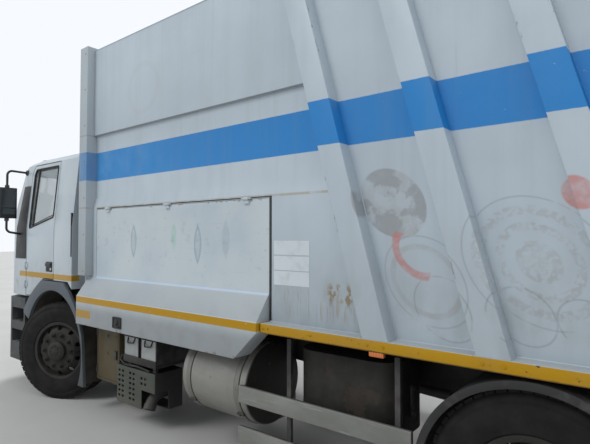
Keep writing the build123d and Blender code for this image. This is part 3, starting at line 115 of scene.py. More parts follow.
# Shader maths
class Shade:
    """A value or colour inside a node tree. Arithmetic on a value adds its Math nodes."""

    def __init__(self, graph, socket):
        self.graph = graph
        self.socket = socket

    def __add__(self, other):
        return self.graph.maths("ADD", self, other)

    __radd__ = __add__

    def __sub__(self, other):
        return self.graph.maths("SUBTRACT", self, other)

    def __rsub__(self, other):
        return self.graph.maths("SUBTRACT", other, self)

    def __mul__(self, other):
        return self.graph.maths("MULTIPLY", self, other)

    __rmul__ = __mul__

    def __rtruediv__(self, other):
        return self.graph.maths("DIVIDE", other, self)

    def __pow__(self, other):
        return self.graph.maths("POWER", self, other)

    def __mod__(self, other):
        return self.graph.maths("FLOORED_MODULO", self, other)

    def __abs__(self):
        return self.graph.maths("ABSOLUTE", self)

    def least(self, other):
        return self.graph.maths("MINIMUM", self, other)

    def most(self, other):
        return self.graph.maths("MAXIMUM", self, other)


class Graph:
    """A node tree that nodes are added to in one way, for finishes and for repeated shapes."""

    def __init__(self, tree):
        self.tree = tree

    def add(self, kind, settings=(), out=0, **feeds):
        """Adds one node: its settings first, then what feeds its sockets, by name or by _number."""
        node = self.tree.nodes.new(kind)
        for key, value in dict(settings).items():
            setattr(node, key, value)
        for key, value in feeds.items():
            place = int(key[1:]) if key[0] == "_" else key.replace("_", " ")
            self.feed(node.inputs[place], value)
        return Shade(self, node.outputs[out])

    def feed(self, socket, value):
        """Links a Shade to a socket, or writes a plain value on it."""
        if isinstance(value, Shade):
            self.tree.links.new(value.socket, socket)
        elif isinstance(value, tuple) and len(value) == 3 and socket.type == "RGBA":
            socket.default_value = (*value, 1)
        else:
            socket.default_value = value

    def maths(self, operation, first, second=0.0):
        return self.add("ShaderNodeMath", {"operation": operation}, _0=first, _1=second)


class Finish(Graph):
    """One material. Numbers go on the shader's own sockets, patterns into colour, gloss and bump."""

    def __init__(self, name, rough=0.5, metal=0.0, coat=0.0, shine=0.5):
        self.material = bpy.data.materials.new(name)
        self.material.use_nodes = True
        super().__init__(self.material.node_tree)
        self.shader = self.tree.nodes["Principled BSDF"]
        self.shader.inputs["Roughness"].default_value = rough
        self.shader.inputs["Metallic"].default_value = metal
        self.shader.inputs["Coat Weight"].default_value = coat
        self.shader.inputs["Coat Roughness"].default_value = 0.15
        self.shader.inputs["Specular IOR Level"].default_value = shine
        self.spot = self.add("ShaderNodeTexCoord", out="Object")
        self.axes = {}

    def along(self, axis):
        """The object's X, Y or Z, in metres."""
        if not self.axes:
            parts = self.tree.nodes.new("ShaderNodeSeparateXYZ")
            self.tree.links.new(self.spot.socket, parts.inputs[0])
            self.axes = {name: Shade(self, parts.outputs[name]) for name in "XYZ"}
        return self.axes[axis]

    def places(self, axes):
        """Several of them at once, one for each letter."""
        return [self.along(axis) for axis in axes]

    def step(self, value, low, high):
        """Rises smoothly from 0 to 1 while value goes from low to high, either way round."""
        return self.add("ShaderNodeMapRange", {"interpolation_type": "SMOOTHSTEP"}, Value=value,
                        From_Min=low, From_Max=high)

    def within(self, value, low, high, soft):
        """1 between low and high, 0 outside, with soft edges."""
        return self.step(value, low - soft, low + soft) * self.step(value, high + soft, high - soft)

    def noise(self, scale, stretch=(1, 1, 1), detail=4.0, seed=0.0):
        """Cloudy noise about 0.5, at so many patches a metre, finer or coarser by axis."""
        moved = self.add("ShaderNodeVectorMath", {"operation": "MULTIPLY"}, _0=self.spot, _1=stretch)
        moved = self.add("ShaderNodeVectorMath", {"operation": "ADD"}, _0=moved,
                         _1=(seed, seed * 1.7, seed * 0.6))
        return self.add("ShaderNodeTexNoise", out="Fac", Vector=moved, Scale=scale, Detail=detail,
                        Roughness=0.55)

    def patches(self, low, high, *grain, **choices):
        """Cloudy patches: 0 where the noise is under low, 1 where it is over high."""
        return self.step(self.noise(*grain, **choices), low, high)

    def blend(self, share, under, over):
        """One colour over another, by a share from 0 to 1."""
        return self.add("ShaderNodeMix", {"data_type": "RGBA"}, out=2, _0=share, _6=under, _7=over)

    def colour(self, value):
        """A colour or a pattern for the base colour."""
        self.feed(self.shader.inputs["Base Color"], value)

    def gloss(self, value):
        """A value or a pattern for the roughness."""
        self.feed(self.shader.inputs["Roughness"], value)

    def bump(self, height, depth):
        """Raises the surface by height times a depth in metres."""
        normal = self.add("ShaderNodeBump", out="Normal", Strength=1.0, Distance=depth, Height=height)
        self.feed(self.shader.inputs["Normal"], normal)
        return self


# Paint colours, dirt and painted shade, linear
white = (0.50, 0.58, 0.64)
cool_white = (0.46, 0.535, 0.595)
band_blue = (0.017, 0.215, 0.56)
faded_blue = (0.075, 0.29, 0.60)
stripe_yellow = (0.455, 0.250, 0.0)
soot = (0.11, 0.105, 0.095)
road_dust = (0.23, 0.22, 0.195)
# A dust grey that also serves as painted shade and painted shadow
dust_and_shade_grey = (0.235, 0.245, 0.245)
rust = (0.17, 0.075, 0.028)
ochre = (0.33, 0.25, 0.10)
faded_grey = (0.36, 0.37, 0.37)
faded_red = (0.55, 0.22, 0.20)
faded_green = (0.36, 0.55, 0.50)
band_low_z = 2.295
band_high_z = 2.575
lip_z = 2.745
cab_stripe_low_z = 1.272
cab_stripe_high_z = 1.332


def rust_spots(finish, scale=38, low=0.66, high=0.72):
    """Small sharp-edged spots, gathered in patches."""
    where = finish.patches(0.45, 0.6, 2.2, seed=3.1)
    return finish.patches(low, high, scale, detail=6, seed=5.3) * where


def run_down(finish, seed, scale=26, low=0.52, high=0.74):
    """Narrow streaks that run down the panel."""
    return finish.patches(low, high, 1, (scale, scale, 0.55), detail=5, seed=seed)


def weather_and_shade(finish, colour, streaks, grime_and_shade, spots):
    """Lays streaks, low dirt and rust over a paint colour, each by its own share; in some paints the
    streaks and the low share also carry painted shadow and painted shade, in the same grey.
    """
    colour = finish.blend(streaks, colour, dust_and_shade_grey)
    colour = finish.blend(grime_and_shade, colour, dust_and_shade_grey)
    return finish.blend(spots, colour, rust)


def peeled(finish, scale, seed, low=0.44, high=0.52):
    """Ragged patches where a film has come off."""
    return finish.patches(low, high, scale, detail=7, seed=seed)


def disc(finish, across, up, middle, height, radius, soft=0.006):
    """1 inside a circle on two of the axes, 0 outside."""
    far = ((across - middle) * (across - middle) + (up - height) * (up - height)) ** 0.5
    return finish.step(far, radius + soft, radius - soft)


def ring(finish, across, up, middle, height, radius, width):
    """1 on a band of this width just inside a circle, 0 elsewhere."""
    return disc(finish, across, up, middle, height, radius) * (
        1 - disc(finish, across, up, middle, height, radius - width))


def leaf(finish, across, up, middle, height, radius, half_gap):
    """A slim upright leaf: where two discs overlap."""
    one = disc(finish, across, up, middle - half_gap, height, radius)
    return one * disc(finish, across, up, middle + half_gap, height, radius)


def side_motifs(f, base, upright, x, z):
    """The faded shapes on the body's side: discs, rings and thin arcs, half peeled away."""
    worn = f.patches(0.36, 0.6, 9, seed=2.2)
    film = peeled(f, 7, 3.4)
    fine = peeled(f, 42, 5.1, 0.40, 0.56)

    def spot(*shape):
        return disc(f, upright, z, *shape)

    def band(*shape):
        return ring(f, upright, z, *shape)

    dark = spot(-1.47, 1.93, 0.20) * film
    grey = (spot(-1.47, 1.93, 0.20) + band(-1.55, 1.50, 0.20, 0.03) + band(-2.14, 1.62, 0.27, 0.045) * fine
            + band(-2.14, 1.62, 0.19, 0.04) * fine + spot(-2.14, 1.62, 0.10) * fine
            + band(-2.78, 1.72, 0.24, 0.05) * fine)
    # Thin rings: middle, height, radius, width
    thin_rings = ((-1.62, 1.36, 0.17, 0.005), (-1.56, 1.50, 0.245, 0.004), (-2.00, 1.36, 0.14, 0.005),
                  (-2.26, 1.34, 0.12, 0.005), (-2.14, 1.62, 0.315, 0.004))
    thin = sum(band(*row) for row in thin_rings)
    red = band(-1.56, 1.66, 0.16, 0.045) * spot(-1.43, 1.60, 0.17) + spot(-2.40, 1.93, 0.075)
    base = f.blend(grey.least(1) * (0.20 + 0.28 * worn), base, faded_grey)
    base = f.blend(dark * 0.42, base, (0.20, 0.205, 0.205))
    base = f.blend(thin.least(1) * 0.5 * f.patches(0.40, 0.5, 5, seed=7), base, (0.12, 0.12, 0.125))
    base = f.blend(red.least(1) * (0.35 + 0.45 * worn), base, faded_red)
    return f.blend(ring(f, x, z, 1.18, 3.07, 0.24, 0.05) * 0.12, base, faded_grey)


def rib_wear(f, y, upright):
    """Worn flakes along the ribs' outer edges, in some places."""
    from_edge = abs(abs((upright - first_rib_x + 0.5 * rib_width + 20 * rib_pitch) % rib_pitch
                        - 0.5 * rib_pitch) - 0.5 * (rib_pitch - rib_width))
    worn_place = f.patches(0.52, 0.60, 1.9, seed=3.3)
    flakes = f.patches(0.58, 0.64, 1, (30, 30, 9), seed=8)
    return f.step(from_edge, 0.010, 0.003) * f.step(abs(y), 1.2, 1.24) * worn_place * flakes


def rust_behind_hatch(f, x, z):
    """Rust low on the side behind the hatch: runs, a blotch and a small patch above them."""
    zone = f.within(x, -1.03, -0.47, 0.05) * f.within(z, 1.22, 1.40, 0.05)
    runs = f.patches(0.50, 0.62, 1, (70, 70, 6), seed=6.1, detail=4) * zone
    blotch = f.patches(0.49, 0.56, 23, (1, 1, 0.7), seed=2.9, detail=6)
    blotch = blotch * f.within(x, -1.01, -0.82, 0.03) * f.within(z, 1.32, 1.44, 0.03)
    patch = f.patches(0.50, 0.60, 25, seed=4.9, detail=5) * disc(f, x, z, -0.345, 1.535, 0.030, 0.02)
    return runs, blotch, patch


def panel_paint(name, seed, motifs):
    """The body's white paint with its blue band, weathered, with a painted shadow under the lip and painted
    shade on the front post and front wall; motifs adds its faded shapes.
    """
    f = Finish(name, rough=0.45, coat=0.05, shine=0.30)
    x, y, z = f.places("XYZ")
    cloud = f.noise(1.6, seed=seed, detail=3)
    base = f.blend(f.step(cloud, 0.3, 0.75), white, cool_white)
    upright = x - lean * (z - rail_high_z)
    if motifs:
        base = side_motifs(f, base, upright, x, z)
    edge = f.noise(60, seed=1.2) * 0.004
    band = f.within(z + edge, band_low_z, band_high_z, 0.003)
    chips = rust_spots(f, 55, 0.70, 0.74)
    blue = f.blend(f.step(x, 0.2, 2.0) * f.patches(0.2, 0.8, 4, seed=6.6), band_blue, faded_blue)
    base = f.blend(band * (1 - 0.5 * chips), base, blue)
    before_ribs = f.step(upright, first_rib_x - 0.002, first_rib_x + 0.002)
    lip = f.within(z, lip_z - 0.20, lip_z + 0.004, 0.03)
    under_roof = f.step(z, 3.1, 3.6)
    broad = f.patches(0.42, 0.75, 1, (9, 9, 0.35), detail=3, seed=2.6)
    streaks = run_down(f, 1.5, 20, 0.58, 0.80) * (0.05 + 0.16 * lip + 0.10 * under_roof) + 0.10 * broad
    # A dark line just under the lip, in front of the ribs: painted shadow of the lip's overhang.
    lip_shadow_line = before_ribs * f.within(z, lip_z - 0.012, lip_z + 0.002, 0.004) * 0.45
    beside_hatch = f.step(x, -1.10, -1.06)
    crease = f.within(z, hatch_top_z + 0.010, hatch_top_z + 0.026, 0.005)
    crease_line = beside_hatch * before_ribs * crease * f.patches(0.25, 0.55, 11, seed=1.8)
    low = f.step(z, 1.95, 1.18)
    patchy = f.patches(0.40, 0.72, 5, (1, 1, 0.6), seed=4.4)
    # Dirt low on the side; past x 2.0 the front post and the front wall are darkened by 0.34 more: painted
    # shade.
    grime_and_shade = low * (0.20 + 0.26 * patchy) + 0.05 * cloud + 0.34 * f.step(x, 1.99, 2.01)
    edge_wear = rib_wear(f, y, upright)
    drip, blotch, corner = rust_behind_hatch(f, x, z)
    base = f.blend((0.45 * drip + 0.85 * blotch + 0.9 * corner + 0.55 * crease_line).least(1), base, ochre)
    spots = (rust_spots(f, 44, 0.68, 0.74) * (0.04 + low * 0.25) + edge_wear * 0.6 + blotch * 0.22).least(1)
    f.colour(weather_and_shade(f, base, (streaks + lip_shadow_line).least(1), grime_and_shade.least(1), spots))
    f.gloss(0.42 + 0.25 * grime_and_shade + 0.3 * spots + 0.10 * streaks)
    return f.bump(f.noise(1.3, seed=9) + 0.02 * f.noise(160) - 0.05 * spots, 0.012)


def plain_white(name, seed, low_z):
    """Painted sheet away from the band: streaks, dust above low_z and a few chips."""
    f = Finish(name, rough=0.45, coat=0.12)
    z = f.along("Z")
    base = f.blend(f.patches(0.3, 0.75, 1.8, seed=seed), white, cool_white)
    low = f.step(z, low_z + 0.6, low_z)
    grime_and_shade = low * (0.20 + 0.4 * f.patches(0.4, 0.7, 8, seed=seed + 1))
    streaks = run_down(f, seed) * 0.14
    spots = rust_spots(f) * (0.15 + 0.6 * low)
    f.colour(weather_and_shade(f, base, streaks, grime_and_shade, spots))
    f.gloss(0.34 + 0.3 * grime_and_shade + 0.3 * spots)
    return f.bump(f.noise(1.5, seed=seed + 2) + 0.02 * f.noise(170), 0.008)


def hatch_paint():
    """The hatch: whiter, with pale upright leaves, the yellow stripe and a yellow corner, a painted
    highlight along its crease, and painted shade on its upward slope and its lower flare.
    """
    f = Finish("hatch_paint", rough=0.45, coat=0.03, shine=0.12)
    x, z = f.places("XZ")
    base = f.blend(f.patches(0.3, 0.8, 2, seed=4), (0.545, 0.61, 0.64), cool_white)
    worn = f.patches(0.34, 0.62, 14, seed=2.9)

    def upright_leaf(*shape):
        return leaf(f, x, z, *shape)

    outer = upright_leaf(1.30, 1.70, 0.28, 0.235) + upright_leaf(0.42, 1.68, 0.30, 0.255)
    inner = upright_leaf(0.10, 1.72, 0.30, 0.26)
    green = upright_leaf(0.72, 1.74, 0.20, 0.165)
    rims = outer - upright_leaf(1.30, 1.70, 0.262, 0.235) - upright_leaf(0.42, 1.68, 0.282, 0.255)
    base = f.blend((outer + inner).least(1) * (0.14 + 0.20 * worn), base, (0.30, 0.37, 0.42))
    base = f.blend(rims.most(0) * 0.45, base, (0.22, 0.33, 0.42))
    base = f.blend(green * (0.35 + 0.5 * worn), base, faded_green)
    stripe = f.within(z, rail_low_z + 0.008, rail_high_z, 0.002)
    corner = f.within(z, 0.965, 1.04, 0.003) * f.within(x, 1.80, 2.1, 0.004)
    chips = f.patches(0.66, 0.72, 45, seed=6, detail=6)
    yellow = (stripe + corner).least(1) * (1 - 0.6 * chips)
    base = f.blend(yellow, base, stripe_yellow)
    # A light blue line along the crease: a painted highlight.
    base = f.blend(0.6 * f.within(z, 1.334, 1.353, 0.004), base, (0.50, 0.62, 0.80))
    low = f.step(z, 1.40, 1.10)
    # Dirt towards the bottom; the flare below the stripe, which faces down, is darkened by 0.55 and the
    # upward slope from 1.17 to 1.336 by 0.36: painted shade.
    grime_and_shade = (low * (0.14 + 0.14 * f.patches(0.40, 0.75, 5, seed=1.4)) + 0.55 * f.step(z, 1.16, 1.02)
             + 0.36 * f.within(z, 1.17, 1.336, 0.006)) * (1 - 0.7 * yellow)
    edge = (f.step(z, 0.925, 0.905) + f.step(z, hatch_top_z - 0.02, hatch_top_z)).least(1)
    spots = (rust_spots(f, 46, 0.69, 0.75) * (0.06 + 0.3 * low)
             + edge * f.patches(0.58, 0.66, 26, seed=3) * 0.6).least(1)
    scuffed = f.within(z, 1.40, 1.96, 0.08)
    scuffs = f.patches(0.60, 0.66, 13, (1, 1, 1.6), seed=5.9, detail=6) * scuffed
    streaks = (run_down(f, 7.7, 22, 0.60, 0.82) * 0.10 + 0.16 * scuffs) * f.within(z, 1.35, 2.0, 0.1)
    scratched = f.within(z, 1.4, 1.95, 0.1)
    scratch = f.patches(0.66, 0.70, 1, (3, 3, 90), seed=12, detail=2) * scratched * 0.12
    f.colour(weather_and_shade(f, base, (streaks + scratch).least(1), grime_and_shade, spots))
    f.gloss(0.32 + 0.3 * grime_and_shade + 0.3 * spots)
    return f.bump(f.noise(1.7, seed=3) + 0.02 * f.noise(150) - 0.05 * spots, 0.009)


def cab_paint():
    """The cab's white, with the yellow stripe round its sides."""
    f = Finish("cab_paint", rough=0.34, coat=0.12, shine=0.30)
    x, y, z = f.places("XYZ")
    base = f.blend(f.patches(0.3, 0.8, 2.4, seed=7), (0.51, 0.58, 0.62), cool_white)
    on_side = f.step(abs(y), 1.05, 1.06) * f.step(x, 3.72, 3.71)
    stripe = f.within(z, cab_stripe_low_z, cab_stripe_high_z, 0.002) * on_side
    chips = f.patches(0.62, 0.68, 50, seed=2, detail=6)
    base = f.blend(stripe * (1 - 0.6 * chips), base, stripe_yellow)
    low = f.step(z, 1.6, 1.1)
    grime_and_shade = low * (0.10 + 0.3 * f.patches(0.42, 0.7, 9, seed=5)) * (1 - 0.7 * stripe)
    spots = rust_spots(f, 50) * (0.08 + 0.5 * low)
    f.colour(weather_and_shade(f, base, run_down(f, 3.3, 24, 0.58, 0.80) * 0.12, (grime_and_shade + 0.07).least(1), spots))
    f.gloss(0.28 + 0.3 * grime_and_shade + 0.3 * spots)
    return f.bump(f.noise(2.0, seed=5) + 0.01 * f.noise(200), 0.004)


def chipped(name, colour, under, scale=30, amount=0.58, rough=0.45, metal=0.0, dust=0.25, shine=0.5):
    """Paint worn through to what is under it, with dust on top."""
    f = Finish(name, rough=rough, metal=metal, shine=shine)
    chips = f.patches(amount, amount + 0.05, scale, detail=7, seed=2.2)
    base = f.blend(chips, colour, under)
    shade = f.noise(5, seed=9.1, detail=3)
    base = f.blend(0.25 * shade, base, soot)
    base = f.blend(dust * f.patches(0.35, 0.7, 6, seed=4.6), base, road_dust)
    f.colour(base)
    f.gloss(rough - 0.08 + 0.16 * shade + 0.2 * chips)
    return f.bump(f.noise(110, detail=3) * 0.4 - 0.6 * chips, 0.0015)


def moulded(name, colour, faded, rough=0.55, grain=420):
    """Grained plastic or rubber, bleached in clouds."""
    f = Finish(name, rough=rough)
    cloud = f.patches(0.3, 0.75, 3.5, seed=1.9)
    base = f.blend(cloud * 0.6, colour, faded)
    base = f.blend(0.2 * f.patches(0.5, 0.75, 11, seed=6.4), base, road_dust)
    f.colour(base)
    f.gloss(rough - 0.06 + 0.14 * cloud)
    return f.bump(f.noise(grain, detail=2), 0.0006)


def tyre_rubber():
    """Near-black rubber, dusty in clouds."""
    f = Finish("tyre_rubber", rough=0.78, shine=0.2)
    cloud = f.noise(6, seed=3.8)
    base = f.blend(f.step(cloud, 0.3, 0.7), (0.006, 0.006, 0.0063), (0.010, 0.010, 0.0098))
    dusty = f.patches(0.30, 0.80, 9, seed=8.2, detail=3) * 0.09
    base = f.blend(dusty, base, (0.12, 0.115, 0.10))
    f.colour(base)
    f.gloss(0.66 + 0.25 * cloud)
    return f.bump(f.noise(240, detail=3) + 0.6 * cloud, 0.0008)


def clear_glass(name, tint, share, rough=0.04):
    """Tinted glass: mostly see-through, with its own gloss."""
    f = Finish(name, rough=rough)
    f.colour(tint)
    f.shader.inputs["IOR"].default_value = 1.45
    f.shader.inputs["Coat Weight"].default_value = 0.5
    f.shader.inputs["Alpha"].default_value = share
    f.gloss(rough + 0.05 * f.patches(0.5, 0.8, 9, seed=1.1))
    return f


def lens(name, colour):
    """A moulded lamp lens with fine upright flutes."""
    f = Finish(name, rough=0.16, coat=0.6)
    flutes = abs(((f.along("X") + f.along("Y")) * 70) % 1 - 0.5)
    f.colour(f.blend(f.step(flutes, 0.1, 0.4), colour, tuple(0.55 * part for part in colour)))
    f.gloss(0.12 + 0.1 * f.noise(30))
    return f.bump(flutes, 0.002)


def brushed(name, colour, rough, dirt=0.2):
    """Metal with fine lines round it, dusty in places."""
    f = Finish(name, rough=rough, metal=1.0)
    lines = f.noise(30, (1, 1, 40), detail=3, seed=2.5)
    base = f.blend(dirt * f.patches(0.4, 0.7, 7, seed=1.3), colour, (0.16, 0.14, 0.12))
    f.colour(base)
    f.gloss(rough + 0.18 * lines)
    return f.bump(lines, 0.0004)


def woven_fabric():
    """Seat cloth with a fine slanting weave."""
    f = Finish("seat_fabric", rough=0.85)
    x, y, z = f.places("XYZ")
    weave = abs(((x + z) * 260) % 1 - 0.5) + abs(((y - z) * 260) % 1 - 0.5)
    f.colour(f.blend(f.step(weave, 0.2, 0.8), (0.035, 0.04, 0.055), (0.075, 0.085, 0.11)))
    f.gloss(0.78 + 0.12 * f.noise(12))
    return f.bump(weave, 0.0008)


# Repeated shapes, made by Geometry Nodes
class Repeat(Graph):
    """A tree that sets one small shape at many points; each input has a name."""

    def __init__(self, name, **inputs):
        super().__init__(bpy.data.node_groups.new(name, "GeometryNodeTree"))
        face = self.tree.interface
        self.sockets = {}
        for label, kind in inputs.items():
            made = face.new_socket(label, in_out="INPUT", socket_type="NodeSocket" + kind)
            self.sockets[label] = made.identifier
        face.new_socket("Geometry", in_out="OUTPUT", socket_type="NodeSocketGeometry")
        entry = self.tree.nodes.new("NodeGroupInput")
        self.given = {label: Shade(self, entry.outputs[label]) for label in inputs}

    def close(self, points, shape, turn):
        """Sets the shape at the points, makes it real and gives it the finish."""
        placed = self.add("GeometryNodeInstanceOnPoints", Points=points, Instance=shape,
                          Rotation=self.add("FunctionNodeEulerToRotation", Euler=turn))
        real = self.add("GeometryNodeRealizeInstances", Geometry=placed)
        coated = self.add("GeometryNodeSetMaterial", Geometry=real, Material=self.given["Finish"])
        leave = self.tree.nodes.new("NodeGroupOutput")
        self.tree.links.new(coated.socket, leave.inputs[0])
        return self

    def mesh(self, **values):
        """The shapes as one plain mesh."""
        carrier = bpy.data.objects.new("carrier", bpy.data.meshes.new("carrier"))
        bpy.context.collection.objects.link(carrier)
        modifier = carrier.modifiers.new("repeat", "NODES")
        modifier.node_group = self.tree
        for label, value in values.items():
            modifier[self.sockets[label]] = value
        ready = carrier.evaluated_get(bpy.context.evaluated_depsgraph_get())
        made = bpy.data.meshes.new_from_object(ready)
        bpy.data.objects.remove(carrier)
        return made


def line_points(r):
    """Points in a straight line, each one Step from the last."""
    return r.add("GeometryNodeMeshLine", {"mode": "OFFSET"}, Count=r.given["Count"],
                 Start_Location=r.given["Start"], Offset=r.given["Step"])


def line_of_studs():
    """Round or six-sided heads in a straight line."""
    r = Repeat("line_of_studs", Start="Vector", Step="Vector", Count="Int", Radius="Float", Height="Float",
               Sides="Int", Turn="Vector", Finish="Material")
    g = r.given
    head = r.add("GeometryNodeMeshCylinder", Vertices=g["Sides"], Radius=g["Radius"], Depth=g["Height"])
    return r.close(line_points(r), head, g["Turn"])


def line_of_bars():
    """Straight bars, slats or blocks in a line."""
    r = Repeat("line_of_bars", Start="Vector", Step="Vector", Count="Int", Size="Vector", Turn="Vector",
               Finish="Material")
    return r.close(line_points(r), r.add("GeometryNodeMeshCube", Size=r.given["Size"]), r.given["Turn"])


def ring_points(r):
    """Points round the Z axis, the first one turned by Phase, and each point's own turn."""
    g = r.given
    angle = r.add("GeometryNodeInputIndex") * (2 * math.pi / g["Count"]) + g["Phase"]
    spot = r.add("ShaderNodeCombineXYZ", X=r.maths("COSINE", angle) * g["Radius"],
                 Y=r.maths("SINE", angle) * g["Radius"], Z=g["Offset"])
    return r.add("GeometryNodePoints", Count=g["Count"], Position=spot), angle


def ring_of_studs():
    """Heads round a circle, their axes along the wheel's axle."""
    r = Repeat("ring_of_studs", Count="Int", Radius="Float", Offset="Float", Phase="Float", Head="Float",
               Height="Float", Sides="Int", Finish="Material")
    points, angle = ring_points(r)
    head = r.add("GeometryNodeMeshCylinder", Vertices=r.given["Sides"], Radius=r.given["Head"],
                 Depth=r.given["Height"])
    return r.close(points, head, r.add("ShaderNodeCombineXYZ", Z=angle))


def ring_of_blocks():
    """Tread blocks round a tyre, each turned to face outwards and skewed across the tread."""
    r = Repeat("ring_of_blocks", Count="Int", Radius="Float", Offset="Float", Phase="Float", Size="Vector",
               Skew="Float", Finish="Material")
    points, angle = ring_points(r)
    block = r.add("GeometryNodeMeshCube", Size=r.given["Size"])
    tilted = r.add("GeometryNodeTransform", Geometry=block,
                   Rotation=r.add("ShaderNodeCombineXYZ", X=r.given["Skew"]))
    return r.close(points, tilted, r.add("ShaderNodeCombineXYZ", Z=angle))


# Building meshes
def add_box(bm, x, y, z):
    """A box between pairs of x, y and z, each either way round."""
    middle = Vector((sum(x) / 2, sum(y) / 2, sum(z) / 2))
    size = Matrix.Diagonal((abs(x[1] - x[0]), abs(y[1] - y[0]), abs(z[1] - z[0]), 1))
    bmesh.ops.create_cube(bm, size=1, matrix=Matrix.Translation(middle) @ size)


def add_bar(bm, start, end, radius, sides=16):
    """A round bar between two points, or a six-sided one."""
    start, end = Vector(start), Vector(end)
    span = end - start
    place = Matrix.Translation((start + end) / 2) @ span.to_track_quat("Z", "Y").to_matrix().to_4x4()
    bmesh.ops.create_cone(bm, cap_ends=True, segments=sides, radius1=radius, radius2=radius,
                          depth=span.length, matrix=place)


bend_steps = 5


def add_pipe(bm, points, radius, sides=10, bend=0.0):
    """A round pipe through the points, its corners rounded by bend."""
    route = [Vector(p) for p in points]
    if bend:
        rounded = [route[0]]
        for before, corner, after in zip(route, route[1:], route[2:]):
            near = corner + (before - corner).normalized() * bend
            far = corner + (after - corner).normalized() * bend
            for part in range(bend_steps + 1):
                share = part / bend_steps
                rounded.append(near * (1 - share) ** 2 + corner * 2 * share * (1 - share)
                               + far * share ** 2)
        route = rounded + [route[-1]]
    facing = (route[1] - route[0]).to_track_quat("Z", "Y")
    loops = []
    for index, here in enumerate(route):
        ahead = route[min(index + 1, len(route) - 1)] - route[max(index - 1, 0)]
        facing = (facing @ Vector((0, 0, 1))).rotation_difference(ahead) @ facing
        loops.append([bm.verts.new(here + facing @ Vector((radius * math.cos(a), radius * math.sin(a), 0)))
                      for a in (2 * math.pi * side / sides for side in range(sides))])
    for one, two in zip(loops, loops[1:]):
        for side in range(sides):
            after = (side + 1) % sides
            bm.faces.new((one[side], one[after], two[after], two[side]))
    bm.faces.new(list(reversed(loops[0])))
    bm.faces.new(loops[-1])


def add_lathe(bm, place, profile, sides=96, closed=False):
    """Turns a profile of (radius, height) about the Z axis of place."""
    loops = []
    for radius, height in profile:
        if radius < 1e-6:
            loops.append([bm.verts.new(place @ Vector((0, 0, height)))])
            continue
        loops.append([bm.verts.new(place @ Vector((radius * math.cos(a), radius * math.sin(a), height)))
                      for a in (2 * math.pi * side / sides for side in range(sides))])
    pairs = list(zip(loops, loops[1:]))
    if closed:
        pairs.append((loops[-1], loops[0]))
    for one, two in pairs:
        for side in range(sides):
            after = (side + 1) % sides
            corners = [one[side % len(one)], one[after % len(one)], two[after % len(two)],
                       two[side % len(two)]]
            bm.faces.new(list(dict.fromkeys(corners)))


def add_plate(bm, outline, place, thickness):
    """A flat plate: an outline of (across, up) in the XY plane of place, thickened along its Z."""
    low = [bm.verts.new(place @ Vector((a, b, 0))) for a, b in outline]
    high = [bm.verts.new(place @ Vector((a, b, thickness))) for a, b in outline]
    bm.faces.new(list(reversed(low)))
    bm.faces.new(high)
    for index in range(len(outline)):
        after = (index + 1) % len(outline)
        bm.faces.new((low[index], low[after], high[after], high[index]))


def rectangle(half_width, low, high):
    """A plate's outline: this far to each side of the middle, from low to high."""
    return (-half_width, low), (half_width, low), (half_width, high), (-half_width, high)


def frame_at(origin, normal, upward=(0, 0, 1)):
    """A place whose Z is the normal and whose Y is as near upward as it can be."""
    z = Vector(normal).normalized()
    x = Vector(upward).cross(z).normalized()
    y = z.cross(x)
    return Matrix.Translation(Vector(origin)) @ Matrix((x, y, z)).transposed().to_4x4()


sharp_angle = math.radians(30)


def round_edges(bm, width):
    """Bevels every sharp edge."""
    bm.normal_update()
    sharp = [edge for edge in bm.edges
             if len(edge.link_faces) == 2 and edge.calc_face_angle(0) > sharp_angle]
    bmesh.ops.bevel(bm, geom=sharp, offset=width, segments=2, profile=0.6, affect="EDGES",
                    clamp_overlap=True)


def finish_piece(name, bm, finish, body, bevel=0.0, smooth=32, stands_for=()):
    """Turns built faces into a finished piece that rides on a body."""
    if bevel:
        round_edges(bm, bevel)
    bmesh.ops.recalc_face_normals(bm, faces=bm.faces)
    mesh = bpy.data.meshes.new(name)
    bm.to_mesh(mesh)
    bm.free()
    settle(name, mesh, finish, body, smooth, stands_for)


def settle(name, mesh, finish, body, smooth=32, stands_for=()):
    """Gives a mesh its object, material and smooth shading, sets it on its body and hides the nodes that it
    stands for.
    """
    mesh.materials.clear()
    mesh.materials.append(finish.material)
    mesh.polygons.foreach_set("use_smooth", [True] * len(mesh.polygons))
    mesh.polygons.foreach_set("material_index", [0] * len(mesh.polygons))
    mesh.set_sharp_from_angle(angle=math.radians(smooth))
    piece = bpy.data.objects.new(name, mesh)
    bpy.context.collection.objects.link(piece)
    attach(piece, body)
    if stands_for:
        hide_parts(*stands_for)


def join_meshes(bm, meshes, place=None):
    """Adds plain meshes to the faces being built, and forgets the meshes."""
    for mesh in meshes:
        if place:
            mesh.transform(place)
        bm.from_mesh(mesh)
        bpy.data.meshes.remove(mesh)


